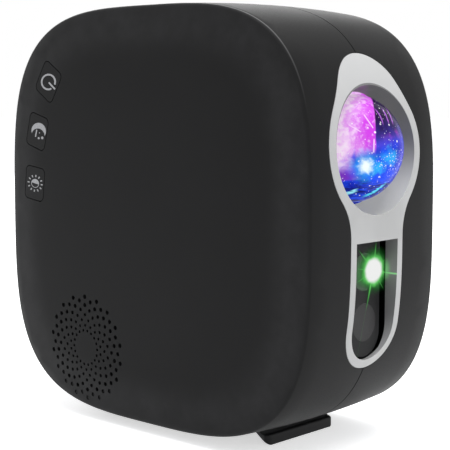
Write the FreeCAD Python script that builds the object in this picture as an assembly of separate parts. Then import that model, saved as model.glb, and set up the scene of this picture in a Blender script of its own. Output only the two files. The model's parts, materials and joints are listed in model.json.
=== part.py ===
import FreeCAD, Part
import math
import os

# Casing: two half shells that meet at a seam in the middle, each a rounded square seen from the side
casing_height = 140.0
casing_squareness = 3.445
rim_half_width = 32.6
face_crown = 1.4
crown_power = 5
wall_draft = 1.0
rim_round = 1.5
wall = 2.6
side_wall = 2.0
outline_steps = 48
width_shares = (-1.0, -0.5, 0.0, 0.5, 1.0)
crown_shares = (1.0, 0.94, 0.86, 0.76, 0.64, 0.5, 0.38)
tongue_height = 1.5
tongue_thickness = 1.0
tongue_clearance = 0.15
overrun = 1.0
edge_tolerance = 0.1
table_clearance = 2.2

# Front bezel: a keyhole-shaped plate with a bowl round the lens and a frame round the laser window
bezel_thickness = 1.4
bezel_gap = 0.2
bezel_lip = 1.4
ring_radius = 23.5
ring_height = 23.5
cap_radius = 17.0
cap_rise = 12.5
stem_half_width = 13.4
stem_fillet = 18.0
stem_end_height = -32.0
bowl_radius = 20.3
bowl_middle_radius = 19.55
bowl_depth = 9.8
bowl_wall = 1.1
seat_radius = 17.6
window_side = 2.7
window_top_clearance = 1.85
window_frame_depth = 4.7
window_frame_wall = 1.0
bezel_post_radius = 2.3
bezel_post_reach = 13.8
upper_post_clearance = 3.4
lower_post_clearance = 3.05

# Dome lens, its barrel and the lens behind it
dome_radius = 17.1
dome_sunk = 11.6
dome_flange_radius = 18.6
dome_flange_thickness = 1.6
flange_clearance = 0.2
barrel_radius = 19.0
barrel_wall = 3.2
barrel_flange_margin = 1.6
barrel_flange_thickness = 2.0
barrel_screw_clearance = 1.6
barrel_step = 1.5
ear_radius = 3.0
ear_thickness = 2.0
focus_edge = 1.6
focus_bulge = 2.2
focus_back = 47.0
ring_band = 1.8
ring_width = 1.6
lens_slack = 0.1

# Two plates that carry the light engine
optics_plate_front = 41.0
optics_plate_thickness = 2.4
optics_plate_half_width = 29.9
optics_plate_top = 50.0
optics_plate_bottom = -46.0
plate_spacing = 5.0
lamp_plate_thickness = 3.0
lamp_plate_half_width = 24.0
lamp_plate_bottom = -27.0
post_radius = 3.0
post_half_width = 21.5
post_top = 46.0
post_bottom = -22.0
beam_radius = 6.5
rail_width = 2.0
rail_reach = 3.6
rail_clearance = 0.1
rail_bottom = -24.0
rail_top = 44.0

# Gear train that turns the wave disc and the star grating
gear_module = 0.5
disc_teeth = 72
pinion_teeth = 16
grating_teeth = 32
tooth_share = 0.40
tip_share = 0.22
root_share = 0.58
addendum_share = 0.9
dedendum_share = 1.2
disc_drop = 11.0
laser_height = -15.0
gear_width = 2.0
gear_front_gap = 1.3
running_gap = 0.3
axle_radius = 1.0
shaft_radius = 1.5
running_clearance = 0.04
fixed_clearance = 0.02
disc_hub_radius = 3.0
grating_hub_radius = 6.0
grating_hub_reach = 0.4
grating_bore = 3.8
grating_radius = 4.5
grating_thickness = 0.8
thrust_ring = 1.1
pinion_overhang = 0.2
shaft_front_reach = 0.6
shaft_bearing = 6.0

# Gear motor, laser and lamp behind the lamp plate
motor_radius = 6.0
gearbox_length = 9.0
motor_length = 14.0
motor_can_radius = 5.6
motor_tail_radius = 2.0
motor_tail = 1.6
motor_ear_reach = 8.2
motor_ear_angle = -50.0
motor_ear_thickness = 1.5
shaft_hole_slack = 0.4
laser_radius = 3.5
laser_length = 20.0
laser_nose_radius = 2.6
laser_beam_radius = 1.6
clamp_wall = 1.6
clamp_length = 8.0
clamp_screw_reach = 7.4
clamp_ear_thickness = 2.0
condenser_radius = 10.0
condenser_wall = 2.0
condenser_length = 15.6
condenser_edge = 1.8
condenser_bulge = 4.0
condenser_seat = 4.5
lamp_ear_half_width = 13.0
lamp_ear_half_height = 9.0
lamp_board_half = 15.6
lamp_board_half_height = 11.6
lamp_board_thickness = 1.6
chip_side = 3.2
chip_height = 1.0
chip_pitch = 4.6
chip_count = 3
sink_base = 3.0
sink_depth = 17.0
fin_count = 7
fin_thickness = 1.2
fin_half_span = 9.6

# Laser hood with its two round windows, and the receiver for the remote control
hood_half_width = 8.0
hood_front = 65.0
hood_window_overlap = 0.8
hood_bottom = -42.0
hood_wall = 1.6
port_radius = 6.0
port_thickness = 1.1
port_rim = 0.9
receiver_height = -31.0
hood_ear_reach = 5.0
hood_ear_half = 3.0
hood_ear_height = -24.0
receiver_board_half_width = 5.0
receiver_board_half_height = 6.0
receiver_board_thickness = 1.4
receiver_half = 3.4
receiver_depth = 3.2
receiver_dome = 2.6

# Keys on the left face, each a rounded square set along the rim, with their switches and board
key_length = 11.5
key_width = 10.5
key_corner = 1.8
key_gap = 0.28
key_names = ("power", "moon", "light")
power_key_back = 47.35
power_key_height = 44.5
power_key_lean = 32.0
moon_key_back = 53.75
moon_key_height = 27.0
moon_key_lean = 15.0
light_key_back = 55.6
light_key_height = 8.5
light_key_lean = 7.0
key_flange = 0.9
key_flange_thickness = 0.9
key_stop_gap = 0.1
plunger_radius = 1.6
plunger_length = 1.2
plunger_slack = 0.06
switch_half = 3.1
switch_height = 1.8
switch_bore_share = 0.7
key_board_thickness = 1.6
key_board_outer = 6.0
key_board_inner = 13.0
key_board_end = 6.4
key_boss_inset = 10.2
boss_radius = 2.3

# Speaker behind the grille in the left face
speaker_back = 28.7
speaker_height = -47.1
grille_radius = 17.8
grille_holes = 18
grille_ring_shares = (0.337, 0.438, 0.545, 0.646, 0.747, 0.837, 0.921, 1.0)
grille_hole_radius = 0.75
grille_hole_shares = (0.66, 0.69, 0.74, 0.81, 0.89, 1.0, 1.0, 1.06)
grille_blind_rings = 2
grille_dimple_depth = 0.7
speaker_radius = 18.0
speaker_rim = 2.1
speaker_gasket_height = 2.0
speaker_flange = 1.0
speaker_ear_reach = 20.6
speaker_ear_shares = (0.0, 0.25, 0.5)
collar_clearance = 0.15
collar_wall = 1.2
collar_height = 3.4
basket_depth = 9.6
basket_sheet = 0.8
basket_back_radius = 11.0
basket_back = 1.2
basket_window_radius = 2.7
basket_window_count = 6
magnet_radius = 10.0
magnet_height = 5.0
magnet_bore = 6.2
yoke_height = 1.5
pole_radius = 4.5
pole_rise = 0.9
coil_inner = 4.75
coil_wall = 0.4
coil_length = 7.0
gap_radius = 5.45
cone_radius = 13.4
cone_depth = 5.4
cone_sheet = 0.5
cone_set_back = 0.4
surround_gap = 0.3
surround_sheet = 0.5
surround_roll = 0.8
dust_cap_radius = 6.2
dust_cap_rise = 1.8

# Main board with its parts and the power socket in the rear wall
board_offset = 20.0
board_thickness = 1.6
board_front = 8.0
board_rear = 60.0
board_top = 44.0
board_bottom = -28.0
board_inset = 4.0
circuit_place_shares = ((0.27, 0.67), (0.62, 0.75), (0.31, 0.31), (0.62, 0.42))
circuit_size_shares = ((0.10, 0.07), (0.14, 0.08), (0.06, 0.06), (0.08, 0.035))
circuit_height = 1.6
can_place_shares = ((0.81, 0.53), (0.81, 0.33), (0.42, 0.14))
can_radius = 2.6
can_height = 5.4
socket_height = -14.0
socket_half_width = 4.5
socket_thickness = 3.2
socket_length = 7.6
socket_wall = 0.35
socket_gap = 0.2
socket_mouth_inset = 0.6
socket_tongue = 0.7
socket_corner_share = 0.33

# Kickstand under the front edge, folded out, with its hinge pin and pocket
stand_half_width = 17.2
stand_hinge_front = 31.0
stand_hinge_height = -66.4
stand_knuckle = 2.1
stand_tip_front = 40.2
stand_lip_height = 3.6
stand_slope = 35.0
stand_skin = 1.4
stand_rim = 1.3
stand_corner = 2.2
stand_floor_gap = 0.05
pin_radius = 1.0
pocket_side = 0.6
pocket_front = 43.0
pocket_rear = 28.2
pocket_top = -61.2
pocket_wall = 1.6
pin_hold = 2.4

# Rubber pads and screws
pad_radius = 4.5
pad_half_width = 16.0
pad_rear = 31.0
pad_front = -11.0
pad_seat = 2.4
pad_slack = 0.15
pad_boss = 1.8
pad_boss_rim = 1.6
case_screw_shares = ((0.371, 0.843), (-0.429, 0.814), (-0.657, -0.729), (0.714, -0.543))
case_post_radius = 3.6
case_screw_radius = 1.3
case_head_radius = 2.4
case_head_height = 1.8
case_head_depth = 24.0
case_screw_length = 16.0
case_screw_well = 2.7
seam_gap = 0.2
screw_radius = 0.95
screw_head_radius = 1.9
screw_head_height = 1.3
screw_length = 4.4
screw_clearance = 0.15
thread_clearance = 0.03

# Places worked out from the sizes above
half_height = casing_height / 2
inner_face = rim_half_width - side_wall
face_reach = rim_half_width + face_crown
floor_level = -half_height - table_clearance
seat_front = -half_height + bowl_depth
dome_centre = -half_height + dome_sunk
dome_front = dome_centre - dome_radius
flange_back = seat_front + dome_flange_thickness
window_half_width = stem_half_width - window_side
optics_front = -optics_plate_front
optics_back = optics_front + optics_plate_thickness
lamp_front = optics_back + plate_spacing
lamp_back = lamp_front + lamp_plate_thickness
gear_front = optics_back + gear_front_gap
gear_back = gear_front + gear_width
disc_height = ring_height - disc_drop
disc_pitch = gear_module * disc_teeth / 2
pinion_pitch = gear_module * pinion_teeth / 2
grating_pitch = gear_module * grating_teeth / 2
disc_reach = disc_pitch + pinion_pitch
grating_reach = grating_pitch + pinion_pitch
centre_distance = disc_height - laser_height
pinion_drop = (disc_reach ** 2 - grating_reach ** 2 + centre_distance ** 2) / (2 * centre_distance)
pinion_height = disc_height - pinion_drop
pinion_side = math.sqrt(disc_reach ** 2 - pinion_drop ** 2)
stand_tip_height = floor_level + stand_floor_gap
key_places = (
    (power_key_back, power_key_height, power_key_lean),
    (moon_key_back, moon_key_height, moon_key_lean),
    (light_key_back, light_key_height, light_key_lean),
)
speaker_place = (speaker_back, speaker_height)
case_screw_places = [(half_height * back, half_height * up) for back, up in case_screw_shares]
case_head_seat = face_reach - case_head_depth
case_screw_end = case_head_seat - case_screw_length


def at(x, y, z):
    return FreeCAD.Vector(x, y, z)


def block(low, high):
    size = [b - a for a, b in zip(low, high)]
    return Part.makeBox(size[0], size[1], size[2], at(*low))


def rod_x(radius, y, z, x_from, x_to):
    return Part.makeCylinder(radius, x_to - x_from, at(x_from, y, z), at(1, 0, 0))


def rod_y(radius, x, z, y_from, y_to):
    return Part.makeCylinder(radius, y_to - y_from, at(x, y_from, z), at(0, 1, 0))


def rod_z(radius, x, y, z_from, z_to):
    return Part.makeCylinder(radius, z_to - z_from, at(x, y, z_from), at(0, 0, 1))


def tube_y(outer, inner, x, z, y_from, y_to):
    return rod_y(outer, x, z, y_from, y_to).cut(rod_y(inner, x, z, y_from - overrun, y_to + overrun))


def tube_x(outer, inner, y, z, x_from, x_to):
    return rod_x(outer, y, z, x_from, x_to).cut(rod_x(inner, y, z, x_from - overrun, x_to + overrun))


def joined(pieces):
    return pieces[0].fuse(pieces[1:])


def spun_x(points, y, z):
    # Points are (radius, x) pairs of a closed outline beside the axis
    corners = [at(x, y + radius, z) for radius, x in points]
    face = Part.Face(Part.makePolygon(corners + [corners[0]]))
    return face.revolve(at(0, y, z), at(1, 0, 0), 360)


def save(name, shape):
    solids = [shape] if shape.ShapeType == "Solid" else shape.Solids
    kept = solids[0] if len(solids) == 1 else Part.makeCompound(solids)
    kept = kept.copy()
    kept.translate(at(0, (half_height - abs(dome_front)) / -2, -floor_level))
    kept.exportStep("parts/" + name + ".step")


# Casing walls
def squircle(half, x):
    points = []
    for step in range(outline_steps):
        angle = 2 * math.pi * step / outline_steps
        spread = abs(math.cos(angle)) ** casing_squareness + abs(math.sin(angle)) ** casing_squareness
        radius = half / spread ** (1 / casing_squareness)
        points.append(at(x, radius * math.cos(angle), radius * math.sin(angle)))
    curve = Part.BSplineCurve()
    curve.interpolate(Points=points, PeriodicFlag=True)
    return Part.Wire(curve.toShape())


def wall_block(inset, reach):
    sections = []
    for share in width_shares:
        half = half_height - inset - wall_draft * (share * reach / rim_half_width) ** 2
        sections.append(squircle(half, share * reach))
    return Part.makeLoft(sections, True, False)


def crown(side):
    rim = half_height - wall_draft
    sections = []
    for share in crown_shares:
        rise = face_crown * (1 - share ** crown_power)
        sections.append(squircle(rim * share, side * (rim_half_width + rise)))
    return Part.makeLoft(sections, True, False)


def rounded_body():
    body = wall_block(0, rim_half_width).fuse([crown(1), crown(-1)])
    rims = []
    for edge in body.Edges:
        box = edge.BoundBox
        flat = box.XLength < edge_tolerance and abs(abs(box.Center.x) - rim_half_width) < edge_tolerance
        if flat and box.YLength > half_height:
            rims.append(edge)
    return body.makeFillet(rim_round, rims)


def half_space(side):
    reach = face_reach + overrun
    low = min(0, side * reach)
    edge = half_height + overrun
    return block((low, -edge, -edge), (low + reach, edge, edge))


# Keyhole outline of the bezel, grown outwards by a margin
def mirrored(points):
    return [(-x, z) for x, z in points]


def arc(start, middle, end, y):
    return Part.Arc(at(start[0], y, start[1]), at(middle[0], y, middle[1]), at(end[0], y, end[1])).toShape()


def line(start, end, y):
    return Part.LineSegment(at(start[0], y, start[1]), at(end[0], y, end[1])).toShape()


def on_circle(centre, radius, angle):
    return (centre[0] + radius * math.cos(angle), centre[1] + radius * math.sin(angle))


def keyhole(grow, y_from, y_to):
    main, cap = ring_radius + grow, cap_radius + grow
    stem, fillet = stem_half_width + grow, stem_fillet - grow
    main_centre, cap_centre = (0, ring_height), (0, ring_height + cap_rise)
    lean = math.asin((main - cap) / cap_rise)
    fillet_drop = math.sqrt((main + fillet) ** 2 - (stem + fillet) ** 2)
    fillet_centre = (stem + fillet, ring_height - fillet_drop)
    neck = -math.atan2(fillet_drop, stem + fillet)
    cap_end = on_circle(cap_centre, cap, lean)
    main_top = on_circle(main_centre, main, lean)
    main_low = on_circle(main_centre, main, neck)
    fillet_middle = on_circle(fillet_centre, fillet, (math.pi + neck + math.pi) / 2)
    stem_top, stem_low = (stem, fillet_centre[1]), (stem, stem_end_height)
    side_middle = on_circle(main_centre, main, (lean + neck) / 2)
    left = mirrored([cap_end, main_top, side_middle, main_low, fillet_middle, stem_top, stem_low])
    edges = [
        arc(left[0], on_circle(cap_centre, cap, math.pi / 2), cap_end, y_from),
        line(cap_end, main_top, y_from),
        arc(main_top, side_middle, main_low, y_from),
        arc(main_low, fillet_middle, stem_top, y_from),
        line(stem_top, stem_low, y_from),
        arc(stem_low, on_circle((0, stem_end_height), stem, -math.pi / 2), left[6], y_from),
        line(left[6], left[5], y_from),
        arc(left[5], left[4], left[3], y_from),
        arc(left[3], left[2], left[1], y_from),
        line(left[1], left[0], y_from),
    ]
    return Part.Face(Part.Wire(edges)).extrude(at(0, y_to - y_from, 0))


def window(grow, y_from, y_to):
    half, top = window_half_width + grow, window_top_height + grow
    edges = [
        line((-half, stem_end_height), (-half, top), y_from),
        line((-half, top), (half, top), y_from),
        line((half, top), (half, stem_end_height), y_from),
        arc((half, stem_end_height), (0, stem_end_height - half), (-half, stem_end_height), y_from),
    ]
    return Part.Face(Part.Wire(edges)).extrude(at(0, y_to - y_from, 0))


# Screws: one shape, set with its head's seat at a point and its shank along a direction
def screw(seat, direction):
    head = Part.makeCylinder(screw_head_radius, screw_head_height, at(0, 0, -screw_head_height), at(0, 0, 1))
    shank = Part.makeCylinder(screw_radius, screw_length, at(0, 0, 0), at(0, 0, 1))
    slot = Part.makeCylinder(screw_radius, screw_head_height / 2, at(0, 0, -screw_head_height), at(0, 0, 1))
    whole = head.fuse(shank).cut(slot)
    whole.Placement = FreeCAD.Placement(at(*seat), FreeCAD.Rotation(at(0, 0, 1), at(*direction)))
    return whole


def screw_hole(seat, direction, depth, clearance):
    hole = Part.makeCylinder(screw_radius + clearance, depth + overrun, at(0, 0, -overrun), at(0, 0, 1))
    hole.Placement = FreeCAD.Placement(at(*seat), FreeCAD.Rotation(at(0, 0, 1), at(*direction)))
    return hole


def loose_holes(seats, direction, depth):
    return [screw_hole(seat, direction, depth, screw_clearance) for seat in seats]


def thread_holes(seats, direction):
    return [screw_hole(seat, direction, screw_length, thread_clearance) for seat in seats]


# Screw places
forwards = (0, -1, 0)
backwards = (0, 1, 0)
outwards_left = (-1, 0, 0)
outwards_right = (1, 0, 0)
bezel_post_back = -half_height + bezel_post_reach
upper_post_rise = barrel_radius + bezel_post_radius + upper_post_clearance
lower_post_drop = barrel_radius + bezel_post_radius + lower_post_clearance
bezel_post_heights = (ring_height + upper_post_rise, ring_height - lower_post_drop)
window_top_height = ring_height - lower_post_drop - bezel_post_radius - window_top_clearance
hood_top = window_top_height + hood_window_overlap
bezel_screw_seats = [(0, bezel_post_back + ear_thickness, height) for height in bezel_post_heights]
barrel_screw_radius = barrel_radius + screw_head_radius + barrel_screw_clearance
barrel_flange_radius = barrel_screw_radius + screw_head_radius + barrel_flange_margin
barrel_diagonal = barrel_screw_radius / math.sqrt(2)
barrel_screw_seats = []
for side in (-1, 1):
    for rise in (-barrel_diagonal, barrel_diagonal):
        seat = optics_front - barrel_flange_thickness
        barrel_screw_seats.append((side * barrel_diagonal, seat, ring_height + rise))
post_screw_seats = []
for side in (-1, 1):
    for height in (post_bottom, post_top):
        post_screw_seats.append((side * post_half_width, optics_front, height))
hood_screw_seats = []
for side in (-1, 1):
    ear_middle = hood_half_width + hood_ear_reach / 2
    hood_screw_seats.append((side * ear_middle, optics_front - ear_thickness, hood_ear_height))
lamp_end = lamp_back + condenser_length
lamp_screw_seats = []
for side in (-1, 1):
    for rise in (-lamp_ear_half_height, lamp_ear_half_height):
        seat = lamp_end + lamp_board_thickness + sink_base
        lamp_screw_seats.append((side * lamp_ear_half_width, seat, ring_height + rise))
motor_lean = math.radians(motor_ear_angle)
motor_screw_seats = []
for side in (-1, 1):
    ear_x = pinion_side + side * motor_ear_reach * math.cos(motor_lean)
    ear_z = pinion_height + side * motor_ear_reach * math.sin(motor_lean)
    motor_screw_seats.append((ear_x, lamp_back + motor_ear_thickness, ear_z))
clamp_screw_seats = [
    (-clamp_screw_reach, lamp_back + clamp_ear_thickness, laser_height),
    (0, lamp_back + clamp_ear_thickness, laser_height - clamp_screw_reach),
]
board_screw_seats = []
for place_y in (board_front + board_inset, board_rear - board_inset):
    for place_z in (board_bottom + board_inset, board_top - board_inset):
        board_screw_seats.append((board_offset, place_y, place_z))


def key_frame(place):
    lean = math.radians(place[2])
    outward = (math.cos(lean), math.sin(lean))
    along = (-math.sin(lean), math.cos(lean))
    return outward, along


def key_point(place, out, up):
    outward, along = key_frame(place)
    return (place[0] + out * outward[0] + up * along[0], place[1] + out * outward[1] + up * along[1])


key_board_outside = -inner_face + key_stop_gap + key_flange_thickness + plunger_length + switch_height
key_board_inside = key_board_outside + key_board_thickness
key_screw_seats = []
for place in (key_places[0], key_places[2]):
    spot = key_point(place, -key_boss_inset, 0)
    key_screw_seats.append((key_board_inside, spot[0], spot[1]))
speaker_base = -inner_face + speaker_gasket_height
speaker_screw_seats = []
for turn_share in speaker_ear_shares:
    spot = on_circle(speaker_place, speaker_ear_reach, 2 * math.pi * turn_share)
    speaker_screw_seats.append((speaker_base + speaker_flange, spot[0], spot[1]))


# Pieces of the shells
def rails(side):
    outer = side * (inner_face + side_wall / 2)
    inner = side * (inner_face - rail_reach)
    low, high = min(outer, inner), max(outer, inner)
    front = optics_front - rail_clearance
    back = optics_back + rail_clearance
    return [
        block((low, front - rail_width, rail_bottom), (high, front, rail_top)),
        block((low, back, rail_bottom), (high, back + rail_width, rail_top)),
    ]


def pad_places(side):
    return [(side * pad_half_width, pad_rear), (side * pad_half_width, pad_front)]


def pad_seat_top():
    return -half_height + pad_seat


def pad_bosses(side):
    bosses = []
    for x, y in pad_places(side):
        foot = -half_height + wall_draft + pad_boss
        bosses.append(rod_z(pad_radius + pad_boss_rim, x, y, foot, pad_seat_top() + pad_boss))
    return bosses


def pad_pockets(side):
    return [rod_z(pad_radius + pad_slack, x, y, -half_height - overrun, pad_seat_top()) for x, y in pad_places(side)]


def pocket_box(side):
    half = stand_half_width + pocket_side + pocket_wall
    low = (min(0, side * half), -pocket_front - pocket_wall, -half_height + wall)
    high = (max(0, side * half), -pocket_rear + pocket_wall, pocket_top + pocket_wall)
    return block(low, high)


def pin_boss(side):
    half = stand_half_width + pocket_side
    start = min(side * half, side * (half + pocket_wall + pin_hold))
    end = start + pocket_wall + pin_hold
    return rod_x(pin_radius + pocket_wall, -stand_hinge_front, stand_hinge_height, start, end)


def pocket_space():
    half = stand_half_width + pocket_side
    return block((-half, -pocket_front, -half_height - overrun), (half, -pocket_rear, pocket_top))


def pin_half_length():
    return stand_half_width + pocket_side + pin_hold


def pin_bore():
    half = pin_half_length() + fixed_clearance
    return rod_x(pin_radius + fixed_clearance, -stand_hinge_front, stand_hinge_height, -half, half)


def case_posts(side):
    posts = []
    for y, z in case_screw_places:
        start = min(side * seam_gap / 2, side * (inner_face + side_wall / 2))
        length = inner_face + side_wall / 2 - seam_gap / 2
        posts.append(rod_x(case_post_radius, y, z, start, start + length))
    return posts


def tongue():
    outer = wall_block(wall - tongue_thickness, inner_face)
    inner = wall_block(wall + tongue_thickness, inner_face)
    edge = half_height + overrun
    return outer.cut(inner).common(block((-tongue_height, -edge, -edge), (tongue_height, edge, edge)))


def groove():
    outer = wall_block(wall - tongue_thickness - tongue_clearance, inner_face)
    inner = wall_block(wall + tongue_thickness + tongue_clearance, inner_face)
    edge = half_height + overrun
    return outer.cut(inner).common(block((-overrun, -edge, -edge), (tongue_height + tongue_clearance, edge, edge)))


def bezel_cuts():
    front = -half_height - overrun
    seat = keyhole(bezel_gap, front, -half_height / 2).cut(wall_block(bezel_thickness, rim_half_width))
    through = keyhole(-bezel_lip, front, bezel_post_back)
    return [seat, through]


def key_prism(place, grow, x_from, x_to):
    half_out, half_up = key_width / 2 + grow, key_length / 2 + grow
    prism = block((x_from, -half_out, -half_up), (x_to, half_out, half_up))
    corners = [edge for edge in prism.Edges if edge.BoundBox.XLength > (x_to - x_from) / 2]
    prism = prism.makeFillet(key_corner + grow, corners)
    prism.rotate(at(0, 0, 0), at(1, 0, 0), place[2])
    prism.translate(at(0, place[0], place[1]))
    return prism


def grille_cutters():
    cutters = []
    outside = -face_reach - overrun
    rings = len(grille_ring_shares)
    for ring in range(rings):
        blind = ring >= rings - grille_blind_rings
        inside = -rim_half_width - face_crown / 2 + grille_dimple_depth if blind else -inner_face + overrun
        turn = math.pi / grille_holes * (ring % 2)
        for hole in range(grille_holes):
            angle = 2 * math.pi * hole / grille_holes + turn
            spot = on_circle(speaker_place, grille_radius * grille_ring_shares[ring], angle)
            cutters.append(rod_x(grille_hole_radius * grille_hole_shares[ring], spot[0], spot[1], outside, inside))
    return cutters


def socket_cutter():
    reach = half_height + overrun
    low_x = board_offset - socket_thickness - socket_gap
    high_x = board_offset + socket_gap
    low_z = socket_height - socket_half_width - socket_gap
    high_z = socket_height + socket_half_width + socket_gap
    slot = block((low_x, half_height / 2, low_z), (high_x, reach, high_z))
    corners = [edge for edge in slot.Edges if edge.BoundBox.YLength > socket_length]
    return slot.makeFillet((socket_thickness + socket_gap) * socket_corner_share, corners)


def half_shell(body, side):
    shell = body.common(half_space(side)).cut(wall_block(wall, inner_face))
    inside = body.common(half_space(side))
    added = rails(side) + pad_bosses(side) + case_posts(side) + [pocket_box(side), pin_boss(side)]
    return shell, [piece.common(inside) for piece in added]


def speaker_ear(y, z, half, x_from, x_to):
    # A lug round a screw and a web from it to the middle of the speaker
    middle_y, middle_z = speaker_place
    side_y = half if abs(y - middle_y) < edge_tolerance else 0
    side_z = half if abs(z - middle_z) < edge_tolerance else 0
    low = (x_from, min(y, middle_y) - side_y, min(z, middle_z) - side_z)
    high = (x_to, max(y, middle_y) + side_y, max(z, middle_z) + side_z)
    return rod_x(half, y, z, x_from, x_to).fuse(block(low, high))


def left_shell(body):
    shell, added = half_shell(body, -1)
    added.append(tongue())
    collar = tube_x(
        speaker_radius + collar_clearance + collar_wall,
        speaker_radius + collar_clearance,
        speaker_place[0], speaker_place[1],
        -inner_face - side_wall / 2, -inner_face + collar_height,
    )
    added.append(collar.common(body))
    for x, y, z in speaker_screw_seats:
        added.append(rod_x(boss_radius, y, z, -inner_face - side_wall / 2, speaker_base))
    for x, y, z in key_screw_seats:
        added.append(rod_x(boss_radius, y, z, -inner_face - side_wall / 2, key_board_outside))
    shell = joined([shell] + added)
    ear_space = []
    for x, y, z in speaker_screw_seats:
        space = speaker_ear(y, z, boss_radius + collar_clearance, speaker_base, -inner_face + collar_height + overrun)
        ear_space.append(space.cut(rod_x(speaker_radius, *speaker_place, speaker_base - overrun, 0)))
    cuts = bezel_cuts() + pad_pockets(-1) + [pocket_space(), pin_bore()] + ear_space
    cuts += [key_prism(place, key_gap, -face_reach - overrun, -inner_face + overrun) for place in key_places]
    cuts += thread_holes(speaker_screw_seats, outwards_left) + thread_holes(key_screw_seats, outwards_left)
    for y, z in case_screw_places:
        cuts.append(rod_x(case_screw_radius + thread_clearance, y, z, case_screw_end - overrun, 0))
    shell = shell.cut(cuts)
    return shell.cut(grille_cutters())


def right_shell(body):
    shell, added = half_shell(body, 1)
    for x, y, z in board_screw_seats:
        added.append(rod_x(boss_radius, y, z, board_offset + board_thickness, inner_face + side_wall / 2))
    shell = joined([shell] + added)
    cuts = bezel_cuts() + pad_pockets(1) + [pocket_space(), pin_bore(), groove(), socket_cutter()]
    cuts += thread_holes(board_screw_seats, outwards_right)
    for y, z in case_screw_places:
        cuts.append(rod_x(case_screw_radius + screw_clearance, y, z, 0, case_head_seat + overrun))
        cuts.append(rod_x(case_screw_well, y, z, case_head_seat, face_reach + overrun))
    return shell.cut(cuts)


# Bezel, dome lens and the barrel that clamps it
def bowl(grow, front, back):
    # A bowl that narrows towards the rear and runs on as a straight bore
    side = Part.Arc(
        at(bowl_radius + grow, -half_height, ring_height),
        at(bowl_middle_radius + grow, -half_height + bowl_depth / 2, ring_height),
        at(seat_radius + grow, seat_front, ring_height),
    ).toShape()
    corners = [
        at(seat_radius + grow, seat_front, ring_height),
        at(seat_radius + grow, back, ring_height),
        at(0, back, ring_height),
        at(0, front, ring_height),
        at(bowl_radius + grow, front, ring_height),
        at(bowl_radius + grow, -half_height, ring_height),
    ]
    sides = [side]
    for start, end in zip(corners, corners[1:]):
        if start != end:
            sides.append(Part.LineSegment(start, end).toShape())
    return Part.Face(Part.Wire(sides)).revolve(at(0, 0, ring_height), at(0, 1, 0), 360)


def front_bezel():
    front = -half_height - overrun
    plate = keyhole(0, front, -half_height / 2)
    plate = plate.common(wall_block(0, rim_half_width)).cut(wall_block(bezel_thickness, rim_half_width))
    outer_wall = bowl(bowl_wall, front, seat_front)
    collar_radius = dome_flange_radius + flange_clearance + bowl_wall
    collar = rod_y(collar_radius, 0, ring_height, seat_front - bowl_wall, flange_back)
    frame = window(window_frame_wall, front, -half_height + window_frame_depth)
    posts = []
    for height in bezel_post_heights:
        posts.append(rod_y(bezel_post_radius, 0, height, front, bezel_post_back))
    behind = joined([outer_wall, collar, frame] + posts).common(wall_block(bezel_thickness / 2, rim_half_width))
    bezel = plate.fuse(behind)
    cuts = [
        bowl(0, front, seat_front + overrun),
        rod_y(dome_flange_radius + flange_clearance, 0, ring_height, seat_front, flange_back + overrun),
        window(0, front, -half_height + window_frame_depth + overrun),
    ]
    return bezel.cut(cuts + thread_holes(bezel_screw_seats, forwards))


def dome_lens():
    ball = Part.makeSphere(dome_radius, at(0, dome_centre, ring_height))
    edge = dome_radius + overrun
    low, high = (-edge, dome_front - overrun, ring_height - edge), (edge, seat_front, ring_height + edge)
    front = ball.common(block(low, high))
    return front.fuse(rod_y(dome_flange_radius, 0, ring_height, seat_front, flange_back)).removeSplitter()


def lens_barrel():
    bore = barrel_radius - barrel_wall
    focus_front = -focus_back - focus_edge
    pieces = [
        rod_y(barrel_radius, 0, ring_height, flange_back, optics_front),
        rod_y(barrel_flange_radius, 0, ring_height, optics_front - barrel_flange_thickness, optics_front),
    ]
    for height in bezel_post_heights:
        inner = ring_height + math.copysign(barrel_radius - barrel_wall / 2, height - ring_height)
        low, high = min(height, inner), max(height, inner)
        pieces.append(rod_y(ear_radius, 0, height, bezel_post_back, bezel_post_back + ear_thickness))
        pieces.append(block((-ear_radius, bezel_post_back, low), (ear_radius, bezel_post_back + ear_thickness, high)))
    cuts = [
        rod_y(bore, 0, ring_height, flange_back - overrun, -focus_back),
        rod_y(bore - barrel_step, 0, ring_height, focus_front, optics_front + overrun),
    ]
    cuts += loose_holes(bezel_screw_seats, forwards, ear_thickness)
    cuts += loose_holes(barrel_screw_seats, backwards, barrel_flange_thickness)
    return joined(pieces).cut(cuts)


def bulged_lens(radius, edge, side, rise, z, y_from):
    # A round lens: a rim of even thickness with a ball cap on its front (-1) or its back (1)
    ball = (radius ** 2 + rise ** 2) / (2 * rise)
    face = y_from if side < 0 else y_from + edge
    sphere = Part.makeSphere(ball, at(0, face - side * (ball - rise), z))
    reach = radius + overrun
    low, high = sorted((face, face + side * (rise + overrun)))
    cap = sphere.common(block((-reach, low, z - reach), (reach, high, z + reach)))
    return rod_y(radius, 0, z, y_from, y_from + edge).fuse(cap).removeSplitter()


def focus_lens():
    radius = barrel_radius - barrel_wall - lens_slack
    return bulged_lens(radius, focus_edge, -1, focus_bulge, ring_height, -focus_back - focus_edge)


def lens_ring():
    radius = barrel_radius - barrel_wall - lens_slack
    front = -focus_back - focus_edge - ring_width
    ring = tube_y(radius, radius - ring_band, 0, ring_height, front, front + ring_width)
    return ring.cut(focus_lens())


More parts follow.
